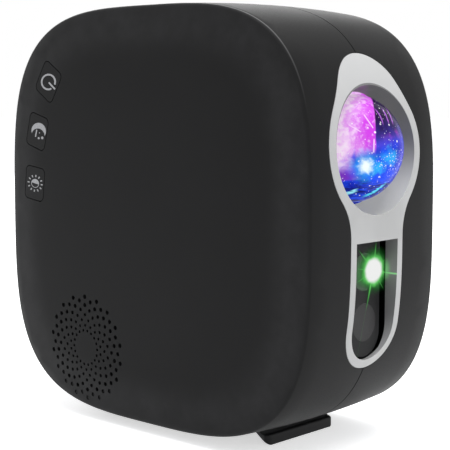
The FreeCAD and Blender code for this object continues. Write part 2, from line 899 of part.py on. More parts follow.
# Plates of the light engine
def optics_plate():
    half = optics_plate_half_width
    plate = block((-half, optics_front, optics_plate_bottom), (half, optics_back, optics_plate_top))
    thrust = grating_hub_radius + running_clearance
    boss = rod_y(thrust + thrust_ring, 0, laser_height, optics_back, gear_front - running_gap)
    plate = plate.fuse(boss)
    cuts = [
        rod_y(beam_radius, 0, ring_height, optics_front - overrun, optics_back + overrun),
        rod_y(axle_radius + fixed_clearance, 0, disc_height, optics_front - overrun, optics_back + overrun),
        rod_y(thrust, 0, laser_height, optics_front - overrun, gear_front),
    ]
    cuts += thread_holes(barrel_screw_seats, backwards)
    cuts += loose_holes(post_screw_seats, backwards, optics_plate_thickness)
    cuts += thread_holes(hood_screw_seats, backwards)
    return plate.cut(cuts)


def lamp_plate():
    half = lamp_plate_half_width
    pieces = [block((-half, lamp_front, lamp_plate_bottom), (half, lamp_back, optics_plate_top))]
    for x, y, z in post_screw_seats:
        pieces.append(rod_y(post_radius, x, z, optics_back, lamp_back))
    cuts = [
        rod_y(beam_radius, 0, ring_height, lamp_front - overrun, lamp_back + overrun),
        rod_y(axle_radius + fixed_clearance, 0, disc_height, lamp_front - overrun, lamp_back + overrun),
        rod_y(shaft_radius + shaft_hole_slack, pinion_side, pinion_height, lamp_front - overrun, lamp_back + overrun),
        rod_y(laser_nose_radius, 0, laser_height, lamp_front - overrun, lamp_back + overrun),
    ]
    cuts += thread_holes(post_screw_seats, backwards)
    cuts += thread_holes(motor_screw_seats + clamp_screw_seats, forwards)
    return joined(pieces).cut(cuts)


# Gears
def gear_blank(teeth, x, z, y_from, y_to, phase):
    pitch = gear_module * teeth / 2
    tip, root = pitch + gear_module * addendum_share, pitch - gear_module * dedendum_share
    step = 2 * math.pi / teeth
    corners = []
    for tooth in range(teeth):
        middle = phase + step * tooth
        spans = ((root, -root_share), (pitch, -tooth_share), (tip, -tip_share))
        spans += ((tip, tip_share), (pitch, tooth_share), (root, root_share))
        for radius, share in spans:
            angle = middle + step * share / 2
            corners.append(at(x + radius * math.cos(angle), y_from, z + radius * math.sin(angle)))
    face = Part.Face(Part.makePolygon(corners + [corners[0]]))
    return face.extrude(at(0, y_to - y_from, 0))


def direction(start, end):
    return math.atan2(end[1] - start[1], end[0] - start[0])


disc_axis = (0, disc_height)
pinion_axis = (pinion_side, pinion_height)
grating_axis = (0, laser_height)
disc_phase = direction(disc_axis, pinion_axis)
pinion_phase = direction(pinion_axis, disc_axis) + math.pi / pinion_teeth
pinion_step = 2 * math.pi / pinion_teeth
tooth_offset = (pinion_phase - direction(pinion_axis, grating_axis)) % pinion_step
grating_offset = tooth_offset * pinion_teeth / grating_teeth
grating_phase = direction(grating_axis, pinion_axis) - grating_offset + math.pi / grating_teeth


def wave_disc():
    disc = gear_blank(disc_teeth, 0, disc_height, gear_front, gear_back, disc_phase)
    hub = rod_y(disc_hub_radius, 0, disc_height, optics_back + running_gap, lamp_front - running_gap)
    bore = rod_y(axle_radius + running_clearance, 0, disc_height, optics_back, lamp_front)
    return disc.fuse(hub).cut(bore)


def wave_axle():
    return rod_y(axle_radius, 0, disc_height, optics_front + running_gap, lamp_back - running_gap)


def drive_pinion():
    start, end = gear_front - pinion_overhang, gear_back + pinion_overhang
    pinion = gear_blank(pinion_teeth, pinion_side, pinion_height, start, end, pinion_phase)
    return pinion.cut(rod_y(shaft_radius, pinion_side, pinion_height, start - overrun, end + overrun))


def motor_shaft():
    start = gear_front - pinion_overhang - shaft_front_reach
    return rod_y(shaft_radius, pinion_side, pinion_height, start, lamp_back + shaft_bearing)


def grating_gear():
    front = optics_front - grating_hub_reach
    gear = gear_blank(grating_teeth, 0, laser_height, gear_front, gear_back, grating_phase)
    hub = rod_y(grating_hub_radius, 0, laser_height, front, lamp_front - running_gap)
    cuts = [
        rod_y(grating_bore, 0, laser_height, front - overrun, lamp_front),
        rod_y(grating_radius, 0, laser_height, front - overrun, front + grating_thickness),
    ]
    return gear.fuse(hub).cut(cuts)


def star_grating():
    front = optics_front - grating_hub_reach
    return rod_y(grating_radius, 0, laser_height, front, front + grating_thickness)


# Gear motor, laser and lamp
def ear(x, z, toward_x, toward_z, y_from, y_to):
    # A lug round a screw, joined by a web to the piece that it holds
    lug = rod_y(screw_head_radius + screw_clearance, x, z, y_from, y_to)
    length = math.hypot(toward_x - x, toward_z - z)
    half = screw_head_radius
    web = block((0, y_from, -half), (length, y_to, half))
    web.rotate(at(0, 0, 0), at(0, 1, 0), -math.degrees(math.atan2(toward_z - z, toward_x - x)))
    web.translate(at(x, 0, z))
    return lug.fuse(web)


def gear_motor():
    can_front = lamp_back + gearbox_length
    pieces = [
        rod_y(motor_radius, pinion_side, pinion_height, lamp_back, lamp_back + gearbox_length),
        rod_y(motor_can_radius, pinion_side, pinion_height, can_front, can_front + motor_length),
        rod_y(motor_tail_radius, pinion_side, pinion_height, can_front, can_front + motor_length + motor_tail),
    ]
    for x, y, z in motor_screw_seats:
        pieces.append(ear(x, z, pinion_side, pinion_height, lamp_back, lamp_back + motor_ear_thickness))
    bore_end = lamp_back + shaft_bearing + running_gap
    bore = rod_y(shaft_radius + running_clearance, pinion_side, pinion_height, lamp_back - overrun, bore_end)
    return joined(pieces).cut([bore] + loose_holes(motor_screw_seats, forwards, motor_ear_thickness))


def laser_module():
    barrel = rod_y(laser_radius, 0, laser_height, lamp_back, lamp_back + laser_length)
    nose_front = lamp_back - lamp_plate_thickness / 2
    nose = rod_y(laser_nose_radius - fixed_clearance, 0, laser_height, nose_front, lamp_back)
    tail = rod_y(laser_nose_radius, 0, laser_height, lamp_back + laser_length, lamp_back + laser_length + motor_tail)
    outlet = rod_y(laser_beam_radius, 0, laser_height, lamp_front, lamp_back + overrun)
    return joined([barrel, nose, tail]).cut(outlet)


def laser_clamp():
    outer = laser_radius + fixed_clearance + clamp_wall
    pieces = [rod_y(outer, 0, laser_height, lamp_back, lamp_back + clamp_length)]
    for x, y, z in clamp_screw_seats:
        pieces.append(ear(x, z, 0, laser_height, lamp_back, lamp_back + clamp_ear_thickness))
    bore_end = lamp_back + clamp_length + overrun
    bore = rod_y(laser_radius + fixed_clearance, 0, laser_height, lamp_back - overrun, bore_end)
    return joined(pieces).cut([bore] + loose_holes(clamp_screw_seats, forwards, clamp_ear_thickness))


def condenser_tube():
    outer = condenser_radius + lens_slack + condenser_wall
    pieces = [rod_y(outer, 0, ring_height, lamp_back, lamp_end)]
    for x, y, z in lamp_screw_seats:
        pieces.append(rod_y(boss_radius, x, z, lamp_back, lamp_end))
        pieces.append(ear(x, z, 0, ring_height, lamp_end - condenser_length / 2, lamp_end))
    cuts = [
        rod_y(beam_radius, 0, ring_height, lamp_back - overrun, lamp_end + overrun),
        rod_y(condenser_radius + lens_slack, 0, ring_height, lamp_back + condenser_seat, lamp_end + overrun),
    ]
    return joined(pieces).cut(cuts + thread_holes(lamp_screw_seats, forwards))


def condenser_lens():
    return bulged_lens(condenser_radius, condenser_edge, 1, condenser_bulge, ring_height, lamp_back + condenser_seat)


def led_board():
    half, tall = lamp_board_half, lamp_board_half_height
    low = (-half, lamp_end, ring_height - tall)
    high = (half, lamp_end + lamp_board_thickness, ring_height + tall)
    return block(low, high).cut(loose_holes(lamp_screw_seats, forwards, lamp_board_thickness + sink_base))


def led_chips():
    chips = []
    spread = chip_pitch / (2 * math.sin(math.pi / chip_count))
    for number in range(chip_count):
        x, z = on_circle((0, ring_height), spread, 2 * math.pi * number / chip_count + math.pi / 2)
        half = chip_side / 2
        chips.append(block((x - half, lamp_end - chip_height, z - half), (x + half, lamp_end, z + half)))
    return Part.makeCompound(chips)


def heat_sink():
    front = lamp_end + lamp_board_thickness
    half, tall = lamp_board_half, lamp_board_half_height
    pieces = [block((-half, front, ring_height - tall), (half, front + sink_base, ring_height + tall))]
    for fin in range(fin_count):
        middle = fin_half_span * (2 * fin / (fin_count - 1) - 1)
        low = (middle - fin_thickness / 2, front + sink_base, ring_height - tall)
        pieces.append(block(low, (middle + fin_thickness / 2, front + sink_depth, ring_height + tall)))
    return joined(pieces).cut(loose_holes(lamp_screw_seats, forwards, sink_base))


# Laser hood, its windows and the receiver behind the lower one
def hood_outline(grow, y_from, y_to):
    half = hood_half_width + grow
    low = hood_bottom + hood_half_width
    top = hood_top + grow
    edges = [
        line((-half, low), (-half, top), y_from),
        line((-half, top), (half, top), y_from),
        line((half, top), (half, low), y_from),
        arc((half, low), (0, low - half), (-half, low), y_from),
    ]
    return Part.Face(Part.Wire(edges)).extrude(at(0, y_to - y_from, 0))


def laser_hood():
    pieces = [hood_outline(0, -hood_front, optics_front)]
    for x, y, z in hood_screw_seats:
        low = (min(x, 0), optics_front - ear_thickness, z - hood_ear_half)
        pieces.append(block(low, (max(x, 0), optics_front, z + hood_ear_half)))
        pieces.append(rod_y(hood_ear_half, x, z, optics_front - ear_thickness, optics_front))
    cuts = [hood_outline(-hood_wall, -hood_front + port_thickness + hood_wall, optics_front + overrun)]
    for height in (laser_height, receiver_height):
        cuts.append(rod_y(port_radius - port_rim, 0, height, -hood_front - overrun, -hood_front + hood_wall * 2))
        seat = port_radius + fixed_clearance
        cuts.append(rod_y(seat, 0, height, -hood_front - overrun, -hood_front + port_thickness))
    return joined(pieces).cut(cuts + loose_holes(hood_screw_seats, backwards, ear_thickness))


def port_window(height):
    return rod_y(port_radius, 0, height, -hood_front, -hood_front + port_thickness)


def receiver_board():
    half, tall = receiver_board_half_width, receiver_board_half_height
    low = (-half, optics_front - receiver_board_thickness, receiver_height - tall)
    return block(low, (half, optics_front, receiver_height + tall))


def infrared_receiver():
    back = optics_front - receiver_board_thickness
    low = (-receiver_half, back - receiver_depth, receiver_height - receiver_half)
    body = block(low, (receiver_half, back, receiver_height + receiver_half))
    dome = Part.makeSphere(receiver_dome, at(0, back - receiver_depth, receiver_height))
    dome_low = (-receiver_half, back - receiver_depth - receiver_half, low[2])
    dome = dome.common(block(dome_low, (receiver_half, back, -low[2])))
    return body.fuse(dome).removeSplitter()


# Keys, plungers, switches and their board
def key_cap(place, body):
    cap = key_prism(place, 0, -face_reach - overrun, -inner_face + key_stop_gap).common(body)
    start = -inner_face + key_stop_gap
    return cap.fuse(key_prism(place, key_flange, start, start + key_flange_thickness)).removeSplitter()


def key_plunger(place):
    start = -inner_face + key_stop_gap + key_flange_thickness
    return rod_x(plunger_radius, place[0], place[1], start, start + plunger_length)


def key_switches():
    switches = []
    for place in key_places:
        start = key_board_outside - switch_height
        body = block((start, -switch_half, -switch_half), (key_board_outside, switch_half, switch_half))
        body.rotate(at(0, 0, 0), at(1, 0, 0), place[2])
        body.translate(at(0, place[0], place[1]))
        bore_end = start + switch_height * switch_bore_share
        bore = rod_x(plunger_radius + plunger_slack, place[0], place[1], start - overrun, bore_end)
        switches.append(body.cut(bore))
    return Part.makeCompound(switches)


def key_board():
    ends = ((key_places[0], key_board_end), (key_places[1], 0), (key_places[2], -key_board_end))
    spots = [key_point(place, key_board_outer, up) for place, up in ends]
    spots += [key_point(place, -key_board_inner, up) for place, up in reversed(ends)]
    corners = [at(key_board_outside, y, z) for y, z in spots]
    board = Part.Face(Part.makePolygon(corners + [corners[0]])).extrude(at(key_board_thickness, 0, 0))
    return board.cut(loose_holes(key_screw_seats, outwards_left, key_board_thickness))


# Speaker
def speaker_gasket():
    y, z = speaker_place
    return tube_x(speaker_radius, speaker_radius - speaker_rim, y, z, -inner_face, speaker_base)


basket_end = speaker_base + basket_depth
magnet_front = basket_end + basket_back


def speaker_frame():
    y, z = speaker_place
    mouth = speaker_radius - speaker_rim
    outline = [
        (speaker_radius, speaker_base),
        (speaker_radius, speaker_base + speaker_flange),
        (mouth + basket_sheet, speaker_base + speaker_flange),
        (basket_back_radius, magnet_front),
        (gap_radius, magnet_front),
        (gap_radius, basket_end),
        (basket_back_radius - basket_sheet, basket_end),
        (mouth, speaker_base + speaker_flange),
        (mouth, speaker_base),
    ]
    pieces = [spun_x(outline, y, z)]
    for seat in speaker_screw_seats:
        tab = speaker_ear(seat[1], seat[2], boss_radius, speaker_base, speaker_base + speaker_flange)
        pieces.append(tab.cut(rod_x(mouth + basket_sheet / 2, y, z, speaker_base - overrun, magnet_front)))
    cuts = loose_holes(speaker_screw_seats, outwards_left, speaker_flange)
    for number in range(basket_window_count):
        angle = math.pi * (2 * number + 1) / basket_window_count
        spot = on_circle(speaker_place, speaker_radius, angle)
        window_axis = at(0, speaker_place[0] - spot[0], speaker_place[1] - spot[1])
        middle = speaker_base + speaker_flange + (basket_depth - speaker_flange) / 2
        length = speaker_radius - basket_back_radius + basket_window_radius
        cuts.append(Part.makeCylinder(basket_window_radius, length, at(middle, spot[0], spot[1]), window_axis))
    return joined(pieces).cut(cuts)


def speaker_magnet():
    y, z = speaker_place
    return tube_x(magnet_radius, magnet_bore, y, z, magnet_front, magnet_front + magnet_height)


def speaker_yoke():
    y, z = speaker_place
    back = magnet_front + magnet_height
    plate = rod_x(magnet_radius, y, z, back, back + yoke_height)
    pole = rod_x(pole_radius, y, z, basket_end - pole_rise, back)
    return plate.fuse(pole).removeSplitter()


def cone_face(radius):
    # Where the cone's front surface lies at a given radius
    slope = cone_depth / (cone_radius - coil_inner)
    return speaker_base + cone_set_back + slope * (cone_radius - radius)


def voice_coil():
    y, z = speaker_place
    start = cone_face(coil_inner + coil_wall) + cone_sheet
    return tube_x(coil_inner + coil_wall, coil_inner, y, z, start, start + coil_length)


def speaker_cone():
    neck = coil_inner + coil_wall
    outline = [
        (cone_radius, cone_face(cone_radius)),
        (cone_radius, cone_face(cone_radius) + cone_sheet),
        (neck, cone_face(neck) + cone_sheet),
        (coil_inner, cone_face(neck) + cone_sheet),
        (coil_inner, cone_face(coil_inner)),
    ]
    return spun_x(outline, *speaker_place)


def dust_cap():
    top = cone_face(dust_cap_radius) - dust_cap_rise
    foot = dust_cap_radius - cone_sheet
    outline = [
        (dust_cap_radius, cone_face(dust_cap_radius)),
        (0, top),
        (0, top + cone_sheet),
        (foot, cone_face(foot)),
    ]
    return spun_x(outline, *speaker_place)


def speaker_surround():
    y, z = speaker_place
    inner = cone_radius + surround_gap
    outer = speaker_radius - speaker_rim
    front = speaker_base + cone_set_back
    middle = (inner + outer) / 2
    sheet = surround_sheet
    outline = [
        (inner, front),
        (middle, front - surround_roll),
        (outer, front),
        (outer, front + sheet),
        (middle, front + sheet - surround_roll),
        (inner, front + sheet),
    ]
    return spun_x(outline, y, z)


# Main board
def main_board():
    low = (board_offset, board_front, board_bottom)
    high = (board_offset + board_thickness, board_rear, board_top)
    return block(low, high).cut(loose_holes(board_screw_seats, outwards_right, board_thickness))


def board_chips():
    chips = []
    long, tall = board_rear - board_front, board_top - board_bottom
    for (back, up), (half_long, half_tall) in zip(circuit_place_shares, circuit_size_shares):
        y, z = board_front + long * back, board_bottom + tall * up
        low = (board_offset - circuit_height, y - long * half_long, z - tall * half_tall)
        chips.append(block(low, (board_offset, y + long * half_long, z + tall * half_tall)))
    for back, up in can_place_shares:
        y, z = board_front + long * back, board_bottom + tall * up
        chips.append(rod_x(can_radius, y, z, board_offset - can_height, board_offset))
    return Part.makeCompound(chips)


def usb_socket():
    rear = half_height - wall_draft * (board_offset / rim_half_width) ** 2 - socket_mouth_inset
    low_x, high_x = board_offset - socket_thickness, board_offset
    low_z, high_z = socket_height - socket_half_width, socket_height + socket_half_width
    shell = block((low_x, rear - socket_length - wall, low_z), (high_x, rear, high_z))
    long_edges = [edge for edge in shell.Edges if edge.BoundBox.YLength > socket_length]
    shell = shell.makeFillet(socket_thickness * socket_corner_share, long_edges)
    sheet = socket_wall
    mouth_low = (low_x + sheet, rear - socket_length, low_z + sheet)
    mouth = block(mouth_low, (high_x - sheet, rear + overrun, high_z - sheet))
    mouth_edges = [edge for edge in mouth.Edges if edge.BoundBox.YLength > socket_length]
    mouth = mouth.makeFillet((socket_thickness - sheet) * socket_corner_share, mouth_edges)
    middle = (low_x + high_x) / 2
    blade = block(
        (middle - socket_tongue / 2, rear - socket_length - overrun, low_z + socket_thickness / 2),
        (middle + socket_tongue / 2, rear - socket_mouth_inset, high_z - socket_thickness / 2),
    )
    return shell.cut(mouth).fuse(blade).removeSplitter()


# Kickstand and its pin
def stand_line(y):
    return stand_tip_height + (y + stand_tip_front) * math.tan(math.radians(stand_slope))


def prism_x(points, half):
    corners = [at(-half, y, z) for y, z in points]
    return Part.Face(Part.makePolygon(corners + [corners[0]])).extrude(at(half * 2, 0, 0))


def kickstand():
    thick = stand_skin / math.cos(math.radians(stand_slope))
    tip, hinge = -stand_tip_front, -stand_hinge_front
    lip_top = stand_tip_height + stand_lip_height
    bend = tip + (stand_lip_height - thick) / math.tan(math.radians(stand_slope))
    outside = prism_x([
        (tip, stand_tip_height), (hinge, stand_line(hinge)), (hinge, stand_line(hinge) + thick),
        (bend, lip_top), (tip, lip_top),
    ], stand_half_width)
    corners = []
    for edge in outside.Edges:
        box = edge.BoundBox
        if box.XLength < edge_tolerance and box.YLength < edge_tolerance and box.Center.y < tip + stand_rim:
            corners.append(edge)
    outside = outside.makeFillet(stand_corner, corners)
    foot = tip + stand_rim
    tray = prism_x([
        (foot, stand_line(foot) + thick), (foot, lip_top + overrun),
        (bend, lip_top + overrun), (bend, lip_top),
    ], stand_half_width - stand_rim)
    knuckle = rod_x(stand_knuckle, hinge, stand_hinge_height, -stand_half_width, stand_half_width)
    bore = rod_x(
        pin_radius + running_clearance, hinge, stand_hinge_height, -stand_half_width - overrun, stand_half_width + overrun
    )
    return outside.cut(tray).fuse(knuckle).cut(bore)


def hinge_pin():
    half = pin_half_length()
    return rod_x(pin_radius, -stand_hinge_front, stand_hinge_height, -half, half)


def foot_pads():
    pads = []
    for side in (-1, 1):
        for x, y in pad_places(side):
            pads.append(rod_z(pad_radius, x, y, floor_level, pad_seat_top()))
    return Part.makeCompound(pads)


def case_screws():
    screws = []
    for y, z in case_screw_places:
        head = rod_x(case_head_radius, y, z, case_head_seat, case_head_seat + case_head_height)
        shank = rod_x(case_screw_radius, y, z, case_screw_end, case_head_seat)
        top = case_head_seat + case_head_height
        socket = rod_x(case_screw_radius, y, z, top - case_head_height / 2, top + overrun)
        screws.append(head.fuse(shank).cut(socket))
    return Part.makeCompound(screws)


def screws_at(groups):
    return Part.makeCompound([screw(seat, heading) for seats, heading in groups for seat in seats])


# Every piece in its own file
os.makedirs("parts", exist_ok=True)
casing = rounded_body()
save("left_shell", left_shell(casing))
save("right_shell", right_shell(casing))
save("front_bezel", front_bezel())
save("dome_lens", dome_lens())
save("lens_barrel", lens_barrel())
save("focus_lens", focus_lens())
save("lens_ring", lens_ring())
save("optics_plate", optics_plate())
save("lamp_plate", lamp_plate())
save("wave_disc", wave_disc())
save("wave_axle", wave_axle())
save("drive_pinion", drive_pinion())
save("motor_shaft", motor_shaft())
save("grating_gear", grating_gear())
save("star_grating", star_grating())
save("gear_motor", gear_motor())
save("laser_module", laser_module())
save("laser_clamp", laser_clamp())
save("condenser_tube", condenser_tube())
save("condenser_lens", condenser_lens())
save("led_board", led_board())
save("led_chips", led_chips())
save("heat_sink", heat_sink())
save("laser_hood", laser_hood())
save("laser_window", port_window(laser_height))
save("receiver_window", port_window(receiver_height))
save("receiver_board", receiver_board())
save("infrared_receiver", infrared_receiver())
for name, place in zip(key_names, key_places):
    save(name + "_key", key_cap(place, casing))
    save(name + "_plunger", key_plunger(place))
save("key_switches", key_switches())
save("key_board", key_board())
save("speaker_gasket", speaker_gasket())
save("speaker_frame", speaker_frame())
save("speaker_magnet", speaker_magnet())
save("speaker_yoke", speaker_yoke())
save("voice_coil", voice_coil())
save("speaker_cone", speaker_cone())
save("dust_cap", dust_cap())
save("speaker_surround", speaker_surround())
save("main_board", main_board())
save("board_chips", board_chips())
save("usb_socket", usb_socket())
save("kickstand", kickstand())
save("hinge_pin", hinge_pin())
save("foot_pads", foot_pads())
save("case_screws", case_screws())
save("optics_screws", screws_at([
    (bezel_screw_seats, forwards), (barrel_screw_seats, backwards),
    (post_screw_seats, backwards), (hood_screw_seats, backwards),
]))
save("lamp_screws", screws_at([
    (lamp_screw_seats, forwards), (motor_screw_seats, forwards), (clamp_screw_seats, forwards),
]))
save("board_screws", screws_at([(board_screw_seats, outwards_right), (key_screw_seats, outwards_left)]))
save("speaker_screws", screws_at([(speaker_screw_seats, outwards_left)]))
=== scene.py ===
import json
import math

import bmesh
import bpy
from mathutils import Matrix, Vector


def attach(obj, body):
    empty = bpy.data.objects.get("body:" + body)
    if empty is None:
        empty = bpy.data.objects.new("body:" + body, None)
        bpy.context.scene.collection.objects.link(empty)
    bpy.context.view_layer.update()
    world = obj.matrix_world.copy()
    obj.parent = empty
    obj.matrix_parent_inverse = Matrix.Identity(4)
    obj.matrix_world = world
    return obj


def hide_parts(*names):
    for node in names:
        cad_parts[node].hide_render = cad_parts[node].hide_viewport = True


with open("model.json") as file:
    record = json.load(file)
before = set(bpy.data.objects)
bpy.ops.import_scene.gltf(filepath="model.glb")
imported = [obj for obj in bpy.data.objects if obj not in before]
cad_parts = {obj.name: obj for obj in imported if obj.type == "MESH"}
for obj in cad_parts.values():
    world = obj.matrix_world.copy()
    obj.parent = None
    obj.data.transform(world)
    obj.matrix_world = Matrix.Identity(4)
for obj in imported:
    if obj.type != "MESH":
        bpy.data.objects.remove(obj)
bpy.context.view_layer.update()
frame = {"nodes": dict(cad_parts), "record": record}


# Casing. Two half shells of near-black plastic, moulded with a fine matt texture, that meet at a seam
# in the middle. Their outside is one rounded square with softly crowned faces, rubbed a little smoother at the
# rim, where a painted highlight lightens the colour; a thin painted highlight runs along the top of each face's
# edge.
mm = 0.001
record = frame["record"]
body_of = {node: body for body, nodes in record["behaviour"]["bodies"].items() for node in nodes}


class Signal:
    """A socket of a tree that is written in sums like a number."""

    def __init__(self, home, socket):
        self.home = home
        self.socket = socket

    def work(self, operation, *values):
        return self.home.node("ShaderNodeMath", {"operation": operation}, dict(enumerate(values)))

    def rise(self, low, high):
        """Nought below low, one above high and a smooth step between."""
        settings = {"interpolation_type": "SMOOTHSTEP"}
        return self.home.node("ShaderNodeMapRange", settings, {0: self, 1: low, 2: high, 3: 0.0, 4: 1.0})


def two_numbers(operation, swapped=False):
    if swapped:
        return lambda signal, other: signal.work(operation, other, signal)
    return lambda signal, other: signal.work(operation, signal, other)


def one_number(operation):
    return lambda signal: signal.work(operation, signal)


for method, operation in (("add", "ADD"), ("sub", "SUBTRACT"), ("mul", "MULTIPLY"), ("truediv", "DIVIDE")):
    setattr(Signal, f"__{method}__", two_numbers(operation))
    setattr(Signal, f"__r{method}__", two_numbers(operation, swapped=True))
for method, operation in (("__pow__", "POWER"), ("below", "LESS_THAN"), ("least", "MINIMUM"), ("most", "MAXIMUM")):
    setattr(Signal, method, two_numbers(operation))
for method, operation in (("__abs__", "ABSOLUTE"), ("wave", "SINE"), ("root", "SQRT"), ("whole_steps", "FRACT")):
    setattr(Signal, method, one_number(operation))


class Tree:
    """A tree of nodes. Settings go onto a node before its sockets are filled or linked."""

    def node(self, kind, settings, values, output=0):
        made = self.tree.nodes.new(kind)
        for key, value in settings.items():
            if key == "stops":
                while len(made.color_ramp.elements) < len(value):
                    made.color_ramp.elements.new(1.0)
                for element, (position, colour) in zip(made.color_ramp.elements, value):
                    element.position = position
                    element.color = (*colour, 1)
            else:
                setattr(made, key, value)
        for socket, value in values.items():
            for one in value if isinstance(value, list) else [value]:
                if isinstance(one, Signal):
                    self.tree.links.new(one.socket, made.inputs[socket])
                else:
                    made.inputs[socket].default_value = one
        return Signal(self, made.outputs[output])


class Finish(Tree):
    """A procedural finish: one principled shader whose even values sit on its own sockets."""

    def __init__(self, name, **even):
        self.material = bpy.data.materials.new(name)
        self.material.use_nodes = True
        self.tree = self.material.node_tree
        self.tree.nodes.clear()
        self.shader = self.tree.nodes.new("ShaderNodeBsdfPrincipled")
        for socket, value in even.items():
            self.shader.inputs[socket.replace("_", " ")].default_value = value
        end = self.tree.nodes.new("ShaderNodeOutputMaterial")
        self.tree.links.new(self.shader.outputs[0], end.inputs[0])
        self.place = self.node("ShaderNodeTexCoord", {}, {}, "Object")

    def feed(self, socket, signal):
        self.tree.links.new(signal.socket, self.shader.inputs[socket])

    def axes(self, middle=(0, 0, 0)):
        """The three numbers of a place on the piece, measured from a middle point."""
        moved = self.node("ShaderNodeVectorMath", {"operation": "SUBTRACT"}, {0: self.place, 1: middle})
        return [self.node("ShaderNodeSeparateXYZ", {}, {0: moved}, axis) for axis in range(3)]

    def noise(self, size, detail=2.0, distortion=0.0, place=None):
        values = {"Vector": place or self.place, "Scale": 1 / size, "Detail": detail, "Distortion": distortion}
        return self.node("ShaderNodeTexNoise", {}, values)

    def mix(self, factor, first, second):
        """A mix of two colours, each a signal, three numbers or one number for a grey."""
        values = {0: factor}
        for socket, value in ((6, first), (7, second)):
            if isinstance(value, float):
                value = (value, value, value)
            values[socket] = value if isinstance(value, Signal) else (*value, 1)
        return self.node("ShaderNodeMix", {"data_type": "RGBA"}, values, 2)

    def relief(self, height, depth):
        values = {"Height": height, "Distance": depth, "Strength": 1.0}
        self.feed("Normal", self.node("ShaderNodeBump", {}, values))


def textured(name, colour, lighter, roughness, grain=0.35 * mm, depth=0.02 * mm, **even):
    """Moulded plastic: a fine grain in relief, a slow change of tone and of gloss."""
    finish = Finish(name, Roughness=roughness, **even)
    grain_height = finish.noise(grain, 3.0)
    cloud = finish.noise(22 * mm, 2.0)
    finish.feed("Base Color", finish.mix(cloud.rise(0.3, 0.7), colour, lighter))
    finish.feed("Roughness", roughness + (grain_height - 0.5) * 0.16 + (cloud - 0.5) * 0.08)
    finish.relief(grain_height, depth)
    return finish


def casing_tone():
    finish = Finish("casing_plastic", Specular_IOR_Level=0.09)
    grain = finish.noise(0.32 * mm, 3.0)
    cloud = finish.noise(30 * mm, 2.0)
    across, along, up = finish.axes(casing_middle)
    # Near the rim the plastic is rubbed smoother, and its colour there is lightened as a painted highlight.
    rim_wear_and_highlight = abs(across).rise(31.6 * mm, 33.2 * mm) * (1 - abs(across).rise(33.2 * mm, 33.7 * mm))
    dark = finish.mix(cloud.rise(0.3, 0.7), (0.0092, 0.0092, 0.0094), (0.0104, 0.0104, 0.0106))
    # A thin pale line along the face's rounded edge, fading out towards the bottom: a painted highlight.
    edge = abs(across).rise(31.15 * mm, 31.45 * mm) * (1 - abs(across).rise(31.55 * mm, 31.95 * mm))
    edge = edge * (up + along * 0.4).rise(5 * mm, 60 * mm)
    dark = finish.mix(rim_wear_and_highlight * 0.35 * finish.noise(6 * mm, 3.0), dark, (0.06, 0.06, 0.062))
    finish.feed("Base Color", finish.mix(edge, dark, 0.17))
    finish.feed("Roughness", 0.50 + (grain - 0.5) * 0.22 - rim_wear_and_highlight * 0.10 + (cloud - 0.5) * 0.06)
    finish.relief(grain, 0.018 * mm)
    return finish


casing_middle = Vector((0, 2.75 * mm, 72.2 * mm))
squareness = 3.445
wall_reach = 70 * mm
wall_draft = 1.0 * mm
rim_half = 32.6 * mm
rim_reach = wall_reach - wall_draft
crown_rise = 1.4 * mm
crown_power = 5
rim_round = 1.5 * mm
on_surface = 0.07 * mm
seam_half = 0.2 * mm
weld_reach = 0.5e-6
same_way = 0.85
crisp_bend = 32
bevel_bend = 40


def outline(along, up):
    """Half height of the rounded square through a point, and how it grows along and up."""
    total = abs(along) ** squareness + abs(up) ** squareness
    if total == 0:
        return 0.0, Vector((0, 0, 0))
    steep = total ** (1 / squareness - 1)
    power = squareness - 1
    growth = Vector((0, math.copysign(abs(along) ** power, along), math.copysign(abs(up) ** power, up)))
    return total ** (1 / squareness), growth * steep


def face_reach(along, up):
    """How far the crowned face stands out from the middle at a place on it."""
    reach, growth = outline(along, up)
    return rim_half + crown_rise * (1 - (reach / rim_reach) ** crown_power)


def casing_direction(point):
    """The outward direction of the casing's outside at a point, or None where the point isn't on it."""
    place = point - casing_middle
    reach, growth = outline(place.y, place.z)
    wall = growth + Vector((2 * wall_draft * place.x / rim_half ** 2, 0, 0))
    wall_depth = wall_reach - wall_draft * (place.x / rim_half) ** 2 - reach
    steep = crown_rise * crown_power * (reach / rim_reach) ** (crown_power - 1) / rim_reach
    face = Vector((math.copysign(1, place.x), 0, 0)) + growth * steep
    face_depth = face_reach(place.y, place.z) - abs(place.x)
    if wall_depth < rim_round and face_depth < rim_round:
        lean = wall.normalized() * (rim_round - wall_depth) + face.normalized() * (rim_round - face_depth)
        return lean.normalized() if abs(lean.length - rim_round) < 2 * on_surface else None
    if abs(wall_depth) < on_surface:
        return wall.normalized()
    return face.normalized() if abs(face_depth) < on_surface else None


def piece_of(name, work, finish):
    """A new piece with a worked mesh, in one finish."""
    mesh = bpy.data.meshes.new(name)
    work.to_mesh(mesh)
    work.free()
    mesh.materials.append(finish.material)
    piece = bpy.data.objects.new(name, mesh)
    bpy.context.scene.collection.objects.link(piece)
    return piece


def stands_for(piece, node):
    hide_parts(node)
    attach(piece, body_of[node])


def welded(node):
    """A node's mesh to work on, its loose triangles joined."""
    work = bmesh.new()
    work.from_mesh(frame["nodes"][node].data)
    bmesh.ops.remove_doubles(work, verts=work.verts, dist=weld_reach)
    return work


def shaded(work, crease=crisp_bend):
    """Shades a worked mesh smooth, and leaves its edges crisp where they bend by more than crease."""
    for face in work.faces:
        face.smooth = True
    for edge in work.edges:
        edge.smooth = len(edge.link_faces) == 2 and edge.calc_face_angle(math.pi) < math.radians(crease)


